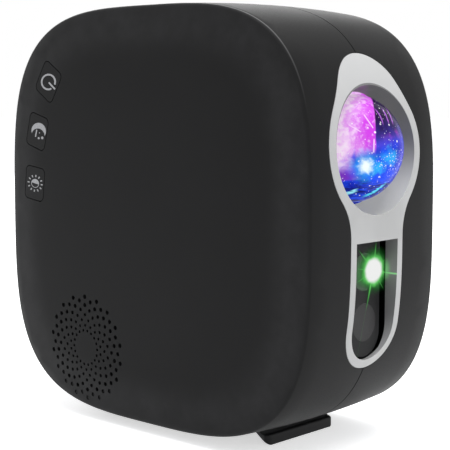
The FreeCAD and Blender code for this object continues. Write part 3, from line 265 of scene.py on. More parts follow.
def skin(node, finish, seam=0.0, follow=False, bevel=0.0):
    """A smooth-shaded piece with a node's own shape, which stands for it. With follow, its outside is
    shaded as the casing's true surface, and seam moves the edge at the middle to open a narrow groove."""
    work = welded(node)
    bmesh.ops.dissolve_degenerate(work, edges=work.edges, dist=weld_reach)
    ways = {}
    if follow:
        for vert in work.verts:
            ways[vert.index] = casing_direction(vert.co)
            if seam and ways[vert.index] and abs(vert.co.x) < 2 * weld_reach:
                vert.co.x = seam
    work.normal_update()
    shaded(work)
    outside = set()
    for face in work.faces:
        if follow and all(ways[vert.index] for vert in face.verts):
            if face.normal.dot(ways[face.verts[0].index]) > same_way:
                outside.add(face.index)
    for edge in work.edges:
        if len({face.index in outside for face in edge.link_faces}) > 1:
            edge.smooth = False
    piece = piece_of(node + "_skin", work, finish)
    mesh = piece.data
    if follow:
        corners = [(0, 0, 0)] * len(mesh.loops)
        for face in mesh.polygons:
            if face.index in outside:
                for loop in face.loop_indices:
                    corners[loop] = ways[mesh.loops[loop].vertex_index]
        mesh.normals_split_custom_set(corners)
    if bevel:
        edge_round = piece.modifiers.new("edge_round", "BEVEL")
        edge_round.width = bevel
        edge_round.segments = 2
        edge_round.limit_method = "ANGLE"
        edge_round.angle_limit = math.radians(bevel_bend)
        edge_round.harden_normals = True
        edge_round.use_clamp_overlap = True
    stands_for(piece, node)
    return piece


casing_plastic = casing_tone()
skin("left_shell", casing_plastic, seam=-seam_half, follow=True)
skin("right_shell", casing_plastic, seam=seam_half, follow=True)


# Keys. Three rounded-square caps of smoother black plastic, flush with the left face and set along its
# rim, each with a pale sign printed on it. A plunger on each meets a switch on the key board behind.
key_plastic = textured(
    "key_plastic", (0.0088, 0.0088, 0.0090), (0.0104, 0.0104, 0.0107), 0.44, 0.5 * mm, 0.008 * mm,
    Specular_IOR_Level=0.10,
)
sign_print = Finish("sign_print", Roughness=0.55)
sign_wear = sign_print.noise(0.5 * mm, 4.0)
sign_print.feed("Base Color", sign_print.mix(sign_wear.rise(0.25, 0.7), (0.30, 0.30, 0.31), (0.42, 0.42, 0.43)))
sign_lift = 0.02 * mm
sign_width = 1.28 * mm
sign_height = 0.87 * mm


def facing(work, way):
    """Turns every face of a flat worked mesh to look one way."""
    work.normal_update()
    for face in work.faces:
        if face.normal.dot(way) < 0:
            face.normal_flip()


def printed(name, body, middle, shapes):
    """Flat shapes laid just above the left face. Each is a ring of places, forwards and up from the middle."""
    work = bmesh.new()
    for shape in shapes:
        ring = []
        for forwards, up in shape:
            side = middle[0] * mm - forwards * sign_width
            height = middle[1] * mm + up * sign_height
            depth = -face_reach(side, height) - sign_lift
            ring.append(work.verts.new(Vector((depth, side, height)) + casing_middle))
        work.faces.new(ring)
    work.normal_update()
    bmesh.ops.triangulate(work, faces=work.faces)
    facing(work, Vector((-1, 0, 0)))
    piece = piece_of(name, work, sign_print)
    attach(piece, body)


def arc_places(radius, start, end, steps):
    turns = [math.radians(start + (end - start) * step / steps) for step in range(steps + 1)]
    return [(radius * math.cos(turn), radius * math.sin(turn)) for turn in turns]


def band_shape(outer, inner, start, end, steps=36):
    return arc_places(outer, start, end, steps) + arc_places(inner, end, start, steps)


def bar_shape(length_from, length_to, half, turn, aside=0.0):
    ways = math.cos(math.radians(turn)), math.sin(math.radians(turn))
    corners = ((length_from, -half), (length_to, -half), (length_to, half), (length_from, half))
    return [(aside + a * ways[0] - b * ways[1], a * ways[1] + b * ways[0]) for a, b in corners]


def dot_shape(forwards, up, radius):
    return [(forwards + a, up + b) for a, b in arc_places(radius, 0, 345, 23)]


def moon_shape(radius, bite, shift, turn):
    """A crescent: a disc less a disc of radius bite whose centre lies a little off, in the way of turn."""
    meet = (radius ** 2 - bite ** 2 + shift ** 2) / (2 * shift)
    edge = math.degrees(math.acos(meet / radius))
    inner_edge = math.degrees(math.acos((meet - shift) / bite))
    way = shift * math.cos(math.radians(turn)), shift * math.sin(math.radians(turn))
    outer = arc_places(radius, turn + edge, turn + 360 - edge, 40)
    inner = arc_places(bite, turn + 360 - inner_edge, turn + inner_edge, 30)
    return outer + [(a + way[0], b + way[1]) for a, b in inner[1:-1]]


for key in ("power", "moon", "light"):
    skin(key + "_key", key_plastic, follow=True)
printed("power_sign", "power_key", (47.3, 44.4), [
    band_shape(3.32, 2.6, -21, 297), bar_shape(0.25, 4.1, 0.33, -45),
])
printed("moon_sign", "moon_key", (52.9, 27.2), [
    moon_shape(3.3, 3.0, 2.03, -99), bar_shape(-0.5, 2.5, 0.27, -102, -0.95),
    dot_shape(0.40, -0.75, 0.24), dot_shape(0.0, -2.95, 0.44), dot_shape(1.6, -2.75, 0.56),
])
sun_rays = [bar_shape(2.6, 3.5, 0.25, ray * 30 - 7) for ray in range(12)]
printed("sun_sign", "light_key", (55.3, 8.5), [
    band_shape(1.8, 1.55, 167, 347), arc_places(1.8, -13, 167, 24),
] + sun_rays)


# Bezel. One moulding in satin silver grey, let into the front: a plate with a bowl round the lens and a
# frame round the laser window. Its plate carries on the casing's curve, a hair's gap inside the shells.
silver = Finish("bezel_silver", Specular_IOR_Level=0.35, Metallic=0.1, Emission_Strength=1.0)
side, depth, height = silver.axes(casing_middle)
bowl_height = 23.5 * mm
window_top = -5.0 * mm
window_bend = -32.0 * mm
silver_flake = silver.noise(0.12 * mm, 2.0)
silver_cloud = silver.noise(18 * mm, 2.0)
tone = silver.mix(silver_cloud.rise(0.3, 0.7), (0.455, 0.455, 0.45), (0.51, 0.51, 0.505))
# Lighter towards the top: painted light from above.
tone = silver.mix(height.rise(10 * mm, 50 * mm), tone, (0.585, 0.585, 0.58))
# Inside the bowl the colour carries painted light and shade: dark towards the top, bright near the bottom, and a
# painted shadow at the top left beside the dome.
bowl_reach = (side ** 2 + (height - bowl_height) ** 2).root()
bowl_painted_light_low = (bowl_height - height).rise(-5 * mm, 15 * mm)
bowl_painted_shading = silver.mix((height - bowl_height).rise(-4 * mm, 18 * mm), (0.25, 0.25, 0.24), 0.19)
bowl_painted_shading = silver.mix(bowl_painted_light_low, bowl_painted_shading, (0.86, 0.86, 0.80))
bowl_painted_shadow = depth.rise(-64.4 * mm, -61.4 * mm) * (height - bowl_height).rise(6 * mm, 13 * mm)
bowl_painted_shadow = bowl_painted_shadow * (1 - side.rise(-5 * mm, 5 * mm))
bowl_painted_shading = silver.mix(bowl_painted_shadow, bowl_painted_shading, 0.02)
tone = silver.mix(bowl_reach.below(20.32 * mm), tone, bowl_painted_shading)
# The window's inner wall is painted in shade: darker towards its top, lighter towards its bottom.
window_reach = (side ** 2 + ((height - window_bend).least(0.0)) ** 2).root()
in_window = window_reach.below(10.74 * mm) * height.below(window_top + 0.02 * mm)
window_wall_painted_shade = silver.mix((window_bend - height).rise(-4 * mm, 9 * mm), 0.24, 0.60)
tone = silver.mix(in_window, tone, window_wall_painted_shade)
silver.feed("Base Color", silver.mix(silver_flake.rise(0.62, 0.75) * 0.2, tone, 0.60))
silver.feed("Roughness", 0.40 + (silver_flake - 0.5) * 0.14)
silver.relief(silver_flake, 0.004 * mm)
# Painted light of the laser's rays: a thin green streak and a soft pool of green given off by the window's right
# inner wall.
laser_middle = Vector((0, -65.0 * mm, -15.0 * mm)) + casing_middle
glint_depth = depth - (laser_middle.y - casing_middle.y)
glint_height = height + 16.3 * mm
glint = (1 - abs(glint_height).rise(0.05 * mm, 0.42 * mm)) * 0.8
spill = 1 - ((glint_depth * 1.6) ** 2 + (glint_height - 1.0 * mm) ** 2).root().rise(0.5 * mm, 4.6 * mm)
glint = glint.most(spill * 0.55) * in_window * side.rise(9.5 * mm, 10.5 * mm)
silver.feed("Emission Color", silver.mix(glint, 0.0, (0.10, 0.55, 0.11)))
skin("front_bezel", silver, follow=True)


# Dome lens. A polished clear dome on a flange, seated in the bowl. The light from within is painted on it, given
# off
# by its surface: the cloud of colour that it throws, with sharp stars in it: a picture that is soft and slow in
# one place, grainy in another.
lens_middle = Vector((0, -58.4 * mm, 23.5 * mm)) + casing_middle
dome_radius = 17.1 * mm
seat_place = -60.2 * mm + casing_middle.y
flange_place = -58.6 * mm + casing_middle.y


def turned(name, profile, axis_height, finish, rounds=128):
    """A piece spun about a line along Y: the profile is a list of (radius, y), closed at the axis."""
    work = bmesh.new()
    rings = []
    for radius, along in profile:
        if radius == 0:
            rings.append([work.verts.new((0, along, axis_height))])
            continue
        ring = []
        for step in range(rounds):
            turn = 2 * math.pi * step / rounds
            place = (radius * math.cos(turn), along, axis_height + radius * math.sin(turn))
            ring.append(work.verts.new(place))
        rings.append(ring)
    for first, second in zip(rings, rings[1:]):
        for step in range(rounds):
            after = (step + 1) % rounds
            if len(first) == 1:
                work.faces.new((first[0], second[after], second[step]))
            elif len(second) == 1:
                work.faces.new((first[step], first[after], second[0]))
            else:
                work.faces.new((first[step], first[after], second[after], second[step]))
    bmesh.ops.recalc_face_normals(work, faces=work.faces)
    shaded(work, 35)
    return piece_of(name, work, finish)


glass = Finish("lit_lens", Roughness=0.08, Specular_IOR_Level=0.07, Emission_Strength=0.56)
side, depth, height = [axis / dome_radius for axis in glass.axes(lens_middle)]
across = side * 0.683 - depth * 0.730
drift = glass.noise(11 * mm, 4.0, 0.5) - 0.5
curl = glass.noise(5 * mm, 6.0, 1.2) - 0.5
fine = glass.noise(1.5 * mm, 4.0, 0.3) - 0.5
ripple_place = glass.node(
    "ShaderNodeVectorMath", {"operation": "MULTIPLY"}, {0: glass.place, 1: (0.35, 0.35, 2.2)}
)
ripple = glass.noise(1.6 * mm, 4.0, 0.6, ripple_place) - 0.5
rosy = across * 1.4 + 0.50 - height.rise(0.3, 0.9) * 0.25 + drift * 0.6 + curl * 0.9 + fine * 0.6
rosy = rosy.rise(0.0, 0.80)
pink = glass.mix(rosy, (1.0, 0.82, 1.0), (0.66, 0.060, 0.80))
night_side = (across + curl * 0.025).rise(0.365, 0.395)
violet = (-0.24 - height + curl * 0.25).rise(0.0, 0.22) * (0.30 - across + curl * 0.2).rise(0.0, 0.4)
for amount, tone in (
    ((curl + fine * 1.4 + 0.5).rise(0.57, 0.90) * 0.6, (1.0, 0.74, 1.0)),
    ((drift - curl * 0.8 + fine * 1.2 + 0.5).rise(0.52, 0.88) * 0.6, (0.76, 0.20, 0.88)),
    ((0.10 - height + across * 0.5 + curl * 0.4).rise(0.0, 0.55) * 0.7, (0.38, 0.24, 0.92)),
    (night_side * (0.46 - height + curl * 0.3).rise(0.0, 0.30), (0.07, 0.055, 0.70)),
    (violet, (0.20, 0.035, 0.55)),
):
    pink = glass.mix(amount, pink, tone)
dim = (0.45 - height + across * 0.3 + curl * 0.5).rise(0.0, 0.7)
dark = glass.mix(dim, (0.016, 0.002, 0.050), (0.050, 0.035, 0.42))
night = night_side * (height + curl * 0.35 - across * 0.1).rise(-0.02, 0.26)
sky = glass.mix(night, pink, dark)
blue = glass.mix((curl + drift + 0.5).rise(0.25, 0.75), (0.005, 0.014, 0.46), (0.013, 0.075, 0.92))
deep = (-0.52 - height + ripple * 0.35).rise(0.0, 0.16)
blue = glass.mix(deep * (0.35 + ripple * 1.6).rise(0.0, 0.6), blue, (0.006, 0.010, 0.16))
low = (0.02 - height + across * 0.30 + curl * 0.38).rise(0.0, 0.26)
low = low * (across + 0.62 + height * 0.35 + curl * 0.3 + (-0.5 - height).rise(0.0, 0.15) * 0.9).rise(0.28, 0.62)
sky = glass.mix(low, sky, blue)


def spread_from(middle_across, middle_height, ragged):
    """How far a place lies from a point of the picture, with a ragged edge."""
    straight = ((across - middle_across) ** 2 + (height - middle_height) ** 2).root()
    return straight + curl * ragged + fine * ragged * 0.5


for place_across, place_height, halo_reach in ((0.20, -0.27, 0.36), (0.64, -0.13, 0.24), (0.44, -0.30, 0.17)):
    far = spread_from(place_across, place_height, 0.32)
    sky = glass.mix((1 - far.rise(0.02, halo_reach)) * 0.9, sky, (0.03, 0.46, 1.0))
far = spread_from(0.20, -0.27, 0.32)
sky = glass.mix(1 - far.rise(0.04, 0.19), sky, (0.90, 1.0, 1.0))
shore = abs(height + 0.93 - (across + 0.15) * (across + 0.15) * 0.55 + ripple * 0.10)
shore = (1 - shore.rise(0.008, 0.035)) * across.rise(0.15, 0.35) * (1 - across.rise(0.50, 0.66))
sky = glass.mix(shore * 0.9, sky, (0.10, 0.75, 1.0))
foam = abs(height + 0.75 - across * 0.5 + ripple * 0.15)
foam = (1 - foam.rise(0.01, 0.05)) * across.rise(-0.30, -0.12) * (1 - across.rise(0.02, 0.12))
sky = glass.mix(foam * 0.9, sky, (0.35, 0.90, 1.0))
for arc_reach in (0.585, 0.70, 0.785):
    trail = abs(((across + 0.05) ** 2 + (height - 0.35) ** 2).root() - arc_reach + fine * 0.02)
    trail = (1 - trail.rise(0.004, 0.016)) * night * height.rise(0.42, 0.52) * (1 - height.rise(0.66, 0.76))
    sky = glass.mix(trail * 0.75, sky, (0.55, 0.16, 0.85))
for trail_from, trail_to, width in (((0.17, 0.64), (0.34, 0.38), 0.016), ((-0.12, 0.46), (0.12, 0.32), 0.012),
                                    ((0.345, 0.22), (0.335, -0.05), 0.020)):
    way = trail_to[0] - trail_from[0], trail_to[1] - trail_from[1]
    length = math.hypot(*way)
    along_trail = ((across - trail_from[0]) * way[0] + (height - trail_from[1]) * way[1]) / length ** 2
    off_trail = abs((across - trail_from[0]) * way[1] - (height - trail_from[1]) * way[0]) / length
    trail = along_trail.rise(0.0, 0.15) * (1 - along_trail.rise(0.9, 1.0))
    trail = trail * (1 - off_trail.rise(width * 0.3, width))
    sky = glass.mix(trail * 0.75, sky, (1.0, 0.74, 1.0))
rim_blue = (across.rise(0.80, 0.93)) * (0.30 - height).rise(0.0, 0.4)
sky = glass.mix(rim_blue * 0.85, sky, (0.010, 0.012, 0.62))


def stars(size, share, radius):
    """Round stars of one size: a few of the cells of a cell pattern have one at their middle."""
    values = {"Vector": glass.place, "Scale": 1 / size}
    near = glass.node("ShaderNodeTexVoronoi", {}, values)
    colour = glass.node("ShaderNodeTexVoronoi", {}, values, 1)
    pick = glass.node("ShaderNodeSeparateXYZ", {}, {0: colour}, 0)
    return (1 - near.rise(radius * 0.35, radius)) * pick.rise(1 - share, 1 - share * 0.6)


swarm = 1 - spread_from(0.62, -0.15, 0.25).rise(0.10, 0.32)
star_light = stars(1.6 * mm, 0.45, 0.19).most(stars(2.9 * mm, 0.5, 0.17)).most(stars(0.8 * mm, 0.4, 0.22) * 0.8)
star_light = star_light.most(stars(0.95 * mm, 0.95, 0.30) * swarm)
sky = glass.mix(star_light, sky, (1.0, 0.97, 1.0))
# The picture is painted light, given off by the dome's surface; a share of it is also its colour.
glass.feed("Emission Color", sky)
glass.feed("Base Color", glass.mix(0.48, sky, 0.0))
profile = []
seat_lean = math.acos((lens_middle.y - seat_place) / dome_radius)
for step in range(25):
    lean = seat_lean * step / 24
    profile.append((dome_radius * math.sin(lean), lens_middle.y - dome_radius * math.cos(lean)))
flange_radius = 18.6 * mm
profile += [(flange_radius, seat_place), (flange_radius, flange_place), (0, flange_place)]
dome = turned("dome_lens_glass", profile, lens_middle.z, glass)
dome.visible_diffuse = False
stands_for(dome, "dome_lens")


# Laser window. A matt black hood with two round panes let into its front: the upper one lets the
# laser's green rays out, the lower one is smoked and lets the remote control's signal in.
black_plastic = textured(
    "black_plastic", (0.010, 0.010, 0.0105), (0.013, 0.013, 0.0135), 0.55, Specular_IOR_Level=0.15
)
skin("laser_hood", black_plastic, bevel=0.15 * mm)
smoked = Finish("smoked_pane", Roughness=0.3, Specular_IOR_Level=0.2)
smoke_haze = smoked.noise(4 * mm, 3.0)
smoke_tone = smoked.mix(smoke_haze.rise(0.3, 0.7), (0.0135, 0.013, 0.0135), (0.017, 0.0165, 0.017))
smoked.feed("Base Color", smoke_tone)
smoked.feed("Roughness", 0.30 + smoke_haze * 0.10)
skin("receiver_window", smoked)
# Painted light: the upper pane glows green, brightest at its middle, as if lit by the laser behind it.
pane_glow = Finish("laser_pane", Roughness=0.2, Specular_IOR_Level=0.25, Emission_Strength=0.12)
pane_side, _, pane_height = pane_glow.axes(laser_middle)
pane_reach = (pane_side ** 2 + pane_height ** 2).root() + (pane_glow.noise(1.2 * mm) - 0.5) * 0.6 * mm
pane_green = pane_glow.mix(pane_reach.rise(2.2 * mm, 5.6 * mm), (0.03, 0.16, 0.035), (0.012, 0.045, 0.014))
pane_glow.feed("Base Color", pane_green)
pane_glow.feed("Emission Color", pane_green)
skin("laser_window", pane_glow)

# Painted light: the laser's flare is a flat card in the window that gives off a white core, a green halo and eight
# rays, clear elsewhere, and casts no shadow.
glow = Finish("laser_light", Roughness=1.0, Specular_IOR_Level=0.0, Base_Color=(0, 0, 0, 1), Emission_Strength=1.0)
flare_middle = laser_middle + Vector((4.4 * mm, 0, 0))
ray_side, _, ray_height = glow.axes(flare_middle)
reach = ((ray_side / 1.17) ** 2 + ray_height ** 2).root() / mm
haze = glow.noise(2.2 * mm, 3.0) - 0.5
core = 1 - (reach + haze * 0.5).rise(3.1, 4.5)
halo = (1 - (reach + haze * 2.2).rise(2.8, 8.8)) ** 1.4
rays = 0
for turn, length, width in ((82, 9.6, 0.60), (138, 10.8, 0.60), (171, 9.0, 0.50), (199, 9.4, 0.55),
                            (253, 13.2, 0.65), (-11, 18.0, 0.42), (25, 8.2, 0.45), (-50, 8.6, 0.45)):
    way = math.cos(math.radians(turn)), math.sin(math.radians(turn))
    out = (ray_side * way[0] + ray_height * way[1]) / mm
    off = abs(ray_side * way[1] - ray_height * way[0]) / mm
    taper = (1 - out / length).most(0.0)
    ray = (1 - off / (taper * width * 2.2 + 0.05)).most(0.0) * out.rise(0.0, 2.0)
    ray = ray * (0.45 + taper * 0.9).least(1.0)
    rays = ray if rays == 0 else rays.most(ray)
green = glow.mix(halo.rise(0.30, 1.0).most(rays * 0.9), (0.024, 0.19, 0.034), (0.15, 0.72, 0.15))
glow.feed("Emission Color", glow.mix(core, green, (0.85, 0.86, 0.85)))
glow.feed("Alpha", core.most(halo).most(rays * 0.95).least(1.0))
glow_place = -65.25 * mm + casing_middle.y
glow_half = 10.4 * mm
work = bmesh.new()
top, bottom = -5.4 * mm, -32.0 * mm
outline_ring = [(glow_half, top), (-glow_half, top)]
outline_ring += [(a, bottom + b) for a, b in arc_places(glow_half, 180, 360, 32)]
work.faces.new([work.verts.new((a, glow_place, casing_middle.z + b)) for a, b in outline_ring])
facing(work, Vector((0, -1, 0)))
laser_light = piece_of("laser_light", work, glow)
laser_light.visible_shadow = False
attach(laser_light, "casing")


# Kickstand and pads. A shallow tray of the casing's plastic swings on a steel pin in a pocket under the
# front edge, and four round rubber pads are let into the underside behind it.
stand_plastic = textured(
    "kickstand_plastic", (0.0125, 0.0125, 0.013), (0.0155, 0.0155, 0.016), 0.5, Specular_IOR_Level=0.16
)
stand_depth = stand_plastic.axes(casing_middle)[1]
# Painted light: behind the lip the tray's shaded inside is lightened, patchily.
tray_painted_light = stand_depth.rise(-39.0 * mm, -38.2 * mm) * (0.75 + (stand_plastic.noise(3 * mm, 3.0) - 0.5) * 0.6)
tray_tone = stand_plastic.mix(tray_painted_light, (0.0135, 0.0135, 0.014), 0.085)
stand_plastic.feed("Base Color", tray_tone)
kickstand = skin("kickstand", stand_plastic)
stand_end = 17.2 * mm
stand_tip = Vector((0, -40.2 * mm, -72.15 * mm)) + casing_middle
lip_top = stand_tip.z + 3.6 * mm
under_slope = math.tan(math.radians(35))


def softened(piece, chosen, width, segments):
    """Rounds the chosen edges of a piece, whose flat sides are first made whole."""
    work = bmesh.new()
    work.from_mesh(piece.data)
    bmesh.ops.dissolve_limit(work, angle_limit=math.radians(1), verts=work.verts, edges=work.edges)
    picked = [edge for edge in work.edges if len(edge.link_faces) == 2 and chosen(edge)]
    bmesh.ops.bevel(
        work, geom=picked, offset=width, segments=segments, profile=0.5, affect="EDGES", clamp_overlap=True
    )
    shaded(work)
    work.to_mesh(piece.data)
    work.free()


def under_edge(edge):
    """The sharp outer edges of the sloping underside, in front of the knuckle."""
    from_tip = [vert.co - stand_tip for vert in edge.verts]
    low = all(abs(place.z - place.y * under_slope) < 0.03 * mm for place in from_tip)
    return low and edge.calc_face_angle() > math.radians(40)


def lip_end_edge(edge):
    """The upper outer edges at the two ends of the tray."""
    return all(abs(vert.co.z - lip_top) < 0.02 * mm and abs(abs(vert.co.x) - stand_end) < 2.3 * mm
               and not (abs(vert.co.x) < stand_end - 1.25 * mm and vert.co.y > stand_tip.y + 1.2 * mm)
               for vert in edge.verts) and edge.calc_face_angle() > math.radians(60)


softened(kickstand, under_edge, 1.5 * mm, 5)
softened(kickstand, lip_end_edge, 0.7 * mm, 4)
rubber = textured("black_rubber", 0.018, 0.028, 0.82, 0.25 * mm, 0.03 * mm)
skin("foot_pads", rubber, bevel=0.3 * mm)
skin("speaker_surround", rubber)


def metal(name, colour, roughness, streak=(1, 1, 1), **even):
    """Bare metal: fine streaks along the way it was worked, in its gloss, its tone and a faint relief."""
    finish = Finish(name, Metallic=1.0, **even)
    stretched = finish.node("ShaderNodeVectorMath", {"operation": "MULTIPLY"}, {0: finish.place, 1: streak})
    lines = finish.noise(0.25 * mm, 4.0, 0.0, stretched)
    stain = finish.noise(5 * mm, 3.0)
    darker = tuple(value * 0.78 for value in colour)
    finish.feed("Base Color", finish.mix((lines * 0.6 + stain * 0.4).rise(0.3, 0.65), darker, colour))
    finish.feed("Roughness", roughness + (lines - 0.5) * 0.25 + (stain - 0.5) * 0.12)
    finish.relief(lines, 0.006 * mm)
    return finish


steel = metal("plain_steel", (0.50, 0.51, 0.53), 0.32, (1, 0.08, 1))
skin("hinge_pin", steel)
skin("wave_axle", steel)
skin("motor_shaft", steel)


# Power socket. A drawn steel shell with a tongue in its mouth, soldered to the main board and reaching
# out to a slot in the rear wall.
drawn_steel = metal("drawn_steel", (0.58, 0.58, 0.60), 0.28, (1, 0.1, 1))
skin("usb_socket", drawn_steel)


class Pattern(Tree):
    """A tree that sets one shape on many places. Its sizes are named inputs, kept as attributes."""

    def __init__(self, name, *sizes):
        self.tree = bpy.data.node_groups.new(name, "GeometryNodeTree")
        self.tree.interface.new_socket("places", in_out="INPUT", socket_type="NodeSocketGeometry")
        self.sockets = {}
        for size in sizes:
            made = self.tree.interface.new_socket(size, in_out="INPUT", socket_type="NodeSocketFloat")
            self.sockets[size] = made.identifier
        self.tree.interface.new_socket("result", in_out="OUTPUT", socket_type="NodeSocketGeometry")
        start = self.tree.nodes.new("NodeGroupInput")
        for size in ("places", *sizes):
            setattr(self, size, Signal(self, start.outputs[size]))

    def vector(self, across, along, up):
        return self.node("ShaderNodeCombineXYZ", {}, {0: across, 1: along, 2: up})

    def moved(self, shape, offset, turn=(0, 0, 0)):
        values = {"Geometry": shape, "Translation": self.vector(*offset), "Rotation": turn}
        return self.node("GeometryNodeTransform", {}, values)

    def box(self, size, middle):
        return self.moved(self.node("GeometryNodeMeshCube", {}, {"Size": self.vector(*size)}), middle)

    def swept(self, path, radius, sides):
        ring = self.node("GeometryNodeCurvePrimitiveCircle", {}, {"Resolution": sides, "Radius": radius})
        return self.node("GeometryNodeCurveToMesh", {}, {"Curve": path, "Profile Curve": ring, "Fill Caps": True})

    def coil(self, radius, height, rounds, detail, wire, sides):
        """A wire wound round Z."""
        values = {"Resolution": detail, "Rotations": rounds, "Start Radius": radius, "End Radius": radius,
                  "Height": height}
        return self.swept(self.node("GeometryNodeCurveSpiral", {}, values), wire, sides)

    def set_on(self, points, shape, **turn):
        return self.node("GeometryNodeInstanceOnPoints", {}, {"Points": points, "Instance": shape, **turn})

    def joined(self, *shapes):
        return self.node("GeometryNodeJoinGeometry", {}, {0: list(shapes)})

    def close(self, shape, finish):
        """Realize what was set out, shade it smooth but at its edges, and colour it."""
        plain = self.node("GeometryNodeRealizeInstances", {}, {"Geometry": shape})
        smooth = self.node("GeometryNodeSetShadeSmooth", {}, {"Geometry": plain, "Shade Smooth": True})
        sharp = 1 - self.node("GeometryNodeInputMeshEdgeAngle", {}, {}).below(math.radians(35))
        values = {"Geometry": smooth, "Selection": sharp, "Shade Smooth": False}
        crisp = self.node("GeometryNodeSetShadeSmooth", {"domain": "EDGE"}, values)
        done = self.node("GeometryNodeSetMaterial", {}, {"Geometry": crisp, "Material": finish.material})
        end = self.tree.nodes.new("NodeGroupOutput")
        self.tree.links.new(done.socket, end.inputs[0])

    def laid(self, name, places, **sizes):
        """A plain piece made by the tree on a mesh of places."""
        piece = bpy.data.objects.new(name, places)
        bpy.context.scene.collection.objects.link(piece)
        maker = piece.modifiers.new("pattern", "NODES")
        maker.node_group = self.tree
        for size, value in sizes.items():
            maker[self.sockets[size]] = float(value)
        seen = piece.evaluated_get(bpy.context.evaluated_depsgraph_get())
        mesh = bpy.data.meshes.new_from_object(seen)
        piece.modifiers.remove(maker)
        piece.data = mesh
        return piece


def marks(name, places, edges=()):
    mesh = bpy.data.meshes.new(name)
    mesh.from_pydata([tuple(place) for place in places], list(edges), [])
    return mesh


plated_gold = metal("plated_gold", (0.83, 0.62, 0.25), 0.22, (1, 0.1, 1))
strips = Pattern("contact_strips", "count", "spacing", "strip_width", "strip_length", "strip_thickness")
line = strips.node(
    "GeometryNodeMeshLine", {}, {"Count": strips.count, "Offset": strips.vector(0.0, 0.0, strips.spacing)}
)
strip = strips.box((strips.strip_thickness, strips.strip_length, strips.strip_width), (0.0, 0.0, 0.0))
strips.close(strips.set_on(strips.places, strips.set_on(line, strip)), plated_gold)
contact_count, contact_spacing = 9, 0.6 * mm
socket_middle = Vector((18.4 * mm, 69.1 * mm, 58.2 * mm))
row_drop = (contact_count - 1) / 2 * contact_spacing
contact_places = [socket_middle + Vector((side * 0.36 * mm, 0, -row_drop)) for side in (-1, 1)]
contacts = strips.laid(
    "socket_contacts", marks("contact_places", contact_places), count=contact_count, spacing=contact_spacing,
    strip_width=0.3 * mm, strip_length=3.4 * mm, strip_thickness=0.04 * mm,
)
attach(contacts, body_of["usb_socket"])


# Lens barrel. A black tube that clamps the dome in the bowl and holds the focus lens with a ring.
skin("lens_barrel", black_plastic, bevel=0.15 * mm)
skin("lens_ring", black_plastic)
clear = Finish("clear_lens", Roughness=0.03, Transmission_Weight=1.0, IOR=1.49)
clear_dust = clear.noise(3 * mm, 4.0)
clear.feed("Base Color", clear.mix(clear_dust.rise(0.4, 0.7), (0.96, 0.97, 0.98), (0.88, 0.90, 0.92)))
clear.feed("Roughness", 0.02 + clear_dust * 0.03)
skin("focus_lens", clear)
skin("condenser_lens", clear)


# Plates. Two white mouldings stand across the casing in its ribs and carry the light engine between them.
white_plastic = textured("natural_plastic", (0.60, 0.60, 0.56), (0.68, 0.68, 0.64), 0.48)
for node in ("optics_plate", "lamp_plate"):
    skin(node, white_plastic, bevel=0.12 * mm)


# Gear train. A motor's pinion turns the toothed rim of a clear rippled disc, which makes the cloud move,
# and the gear of the star grating. The gears are white plastic; the grating is a ruled film in a hub.
for node in ("drive_pinion", "grating_gear"):
    skin(node, white_plastic)
ripple = Finish("rippled_disc", Roughness=0.08, Transmission_Weight=0.55, IOR=1.46)
ripple_cells = ripple.noise(6 * mm, 3.0, 1.4)
ripple_tone = ripple.mix(ripple_cells.rise(0.35, 0.65), (0.35, 0.30, 0.85), (0.85, 0.45, 0.85))
ripple.feed("Base Color", ripple.mix(ripple.noise(3 * mm, 3.0).rise(0.5, 0.7), ripple_tone, (0.9, 0.93, 0.97)))
ripple.relief(ripple_cells + ripple.noise(1.3 * mm, 2.0) * 0.3, 0.5 * mm)
skin("wave_disc", ripple)
ruled = Finish("ruled_film", Roughness=0.06, Transmission_Weight=0.7, IOR=1.5)
film_side, _, film_height = ruled.axes(laser_middle)
rules = 2 * math.pi / (0.12 * mm)
rule_lines = (film_side * rules).wave() * (film_height * rules).wave()
# The grating's rainbow colours across the film are a painted sheen.
sheen_tone = ruled.node("ShaderNodeValToRGB", {"stops": (
    (0.0, (0.75, 0.55, 0.85)), (0.35, (0.55, 0.80, 0.90)), (0.7, (0.65, 0.92, 0.60)), (1.0, (0.95, 0.85, 0.55)),
)}, {0: (film_side + film_height) / (9 * mm) + 0.5})
ruled.feed("Base Color", sheen_tone)
ruled.relief(rule_lines, 0.01 * mm)
skin("star_grating", ruled)


# Gear motor. A plated can with a gearbox in front, held to the lamp plate by two lugs.
plated = metal("plated_can", (0.55, 0.55, 0.52), 0.30, (1, 0.06, 1))
skin("gear_motor", plated, bevel=0.12 * mm)


# Laser. A turned brass barrel in a clamp of cast aluminium, its nose let into the lamp plate.
brass = metal("turned_brass", (0.72, 0.52, 0.24), 0.26, (0.15, 1, 0.15))
skin("laser_module", brass, bevel=0.12 * mm)
cast_aluminium = metal("cast_aluminium", (0.56, 0.57, 0.59), 0.42)
skin("laser_clamp", cast_aluminium, bevel=0.15 * mm)


# Lamp. Three light chips on a board, a black tube with a condenser lens in front, a finned sink behind.
skin("condenser_tube", black_plastic)
skin("heat_sink", cast_aluminium, bevel=0.12 * mm)
phosphor = Finish("phosphor", Roughness=0.4, Emission_Strength=0.35)
phosphor_grain = phosphor.noise(0.3 * mm, 3.0)
phosphor_tone = phosphor.mix(phosphor_grain.rise(0.3, 0.7), (0.80, 0.66, 0.16), (0.95, 0.86, 0.35))
phosphor.feed("Base Color", phosphor_tone)
phosphor.feed("Emission Color", phosphor_tone)
skin("led_chips", phosphor)


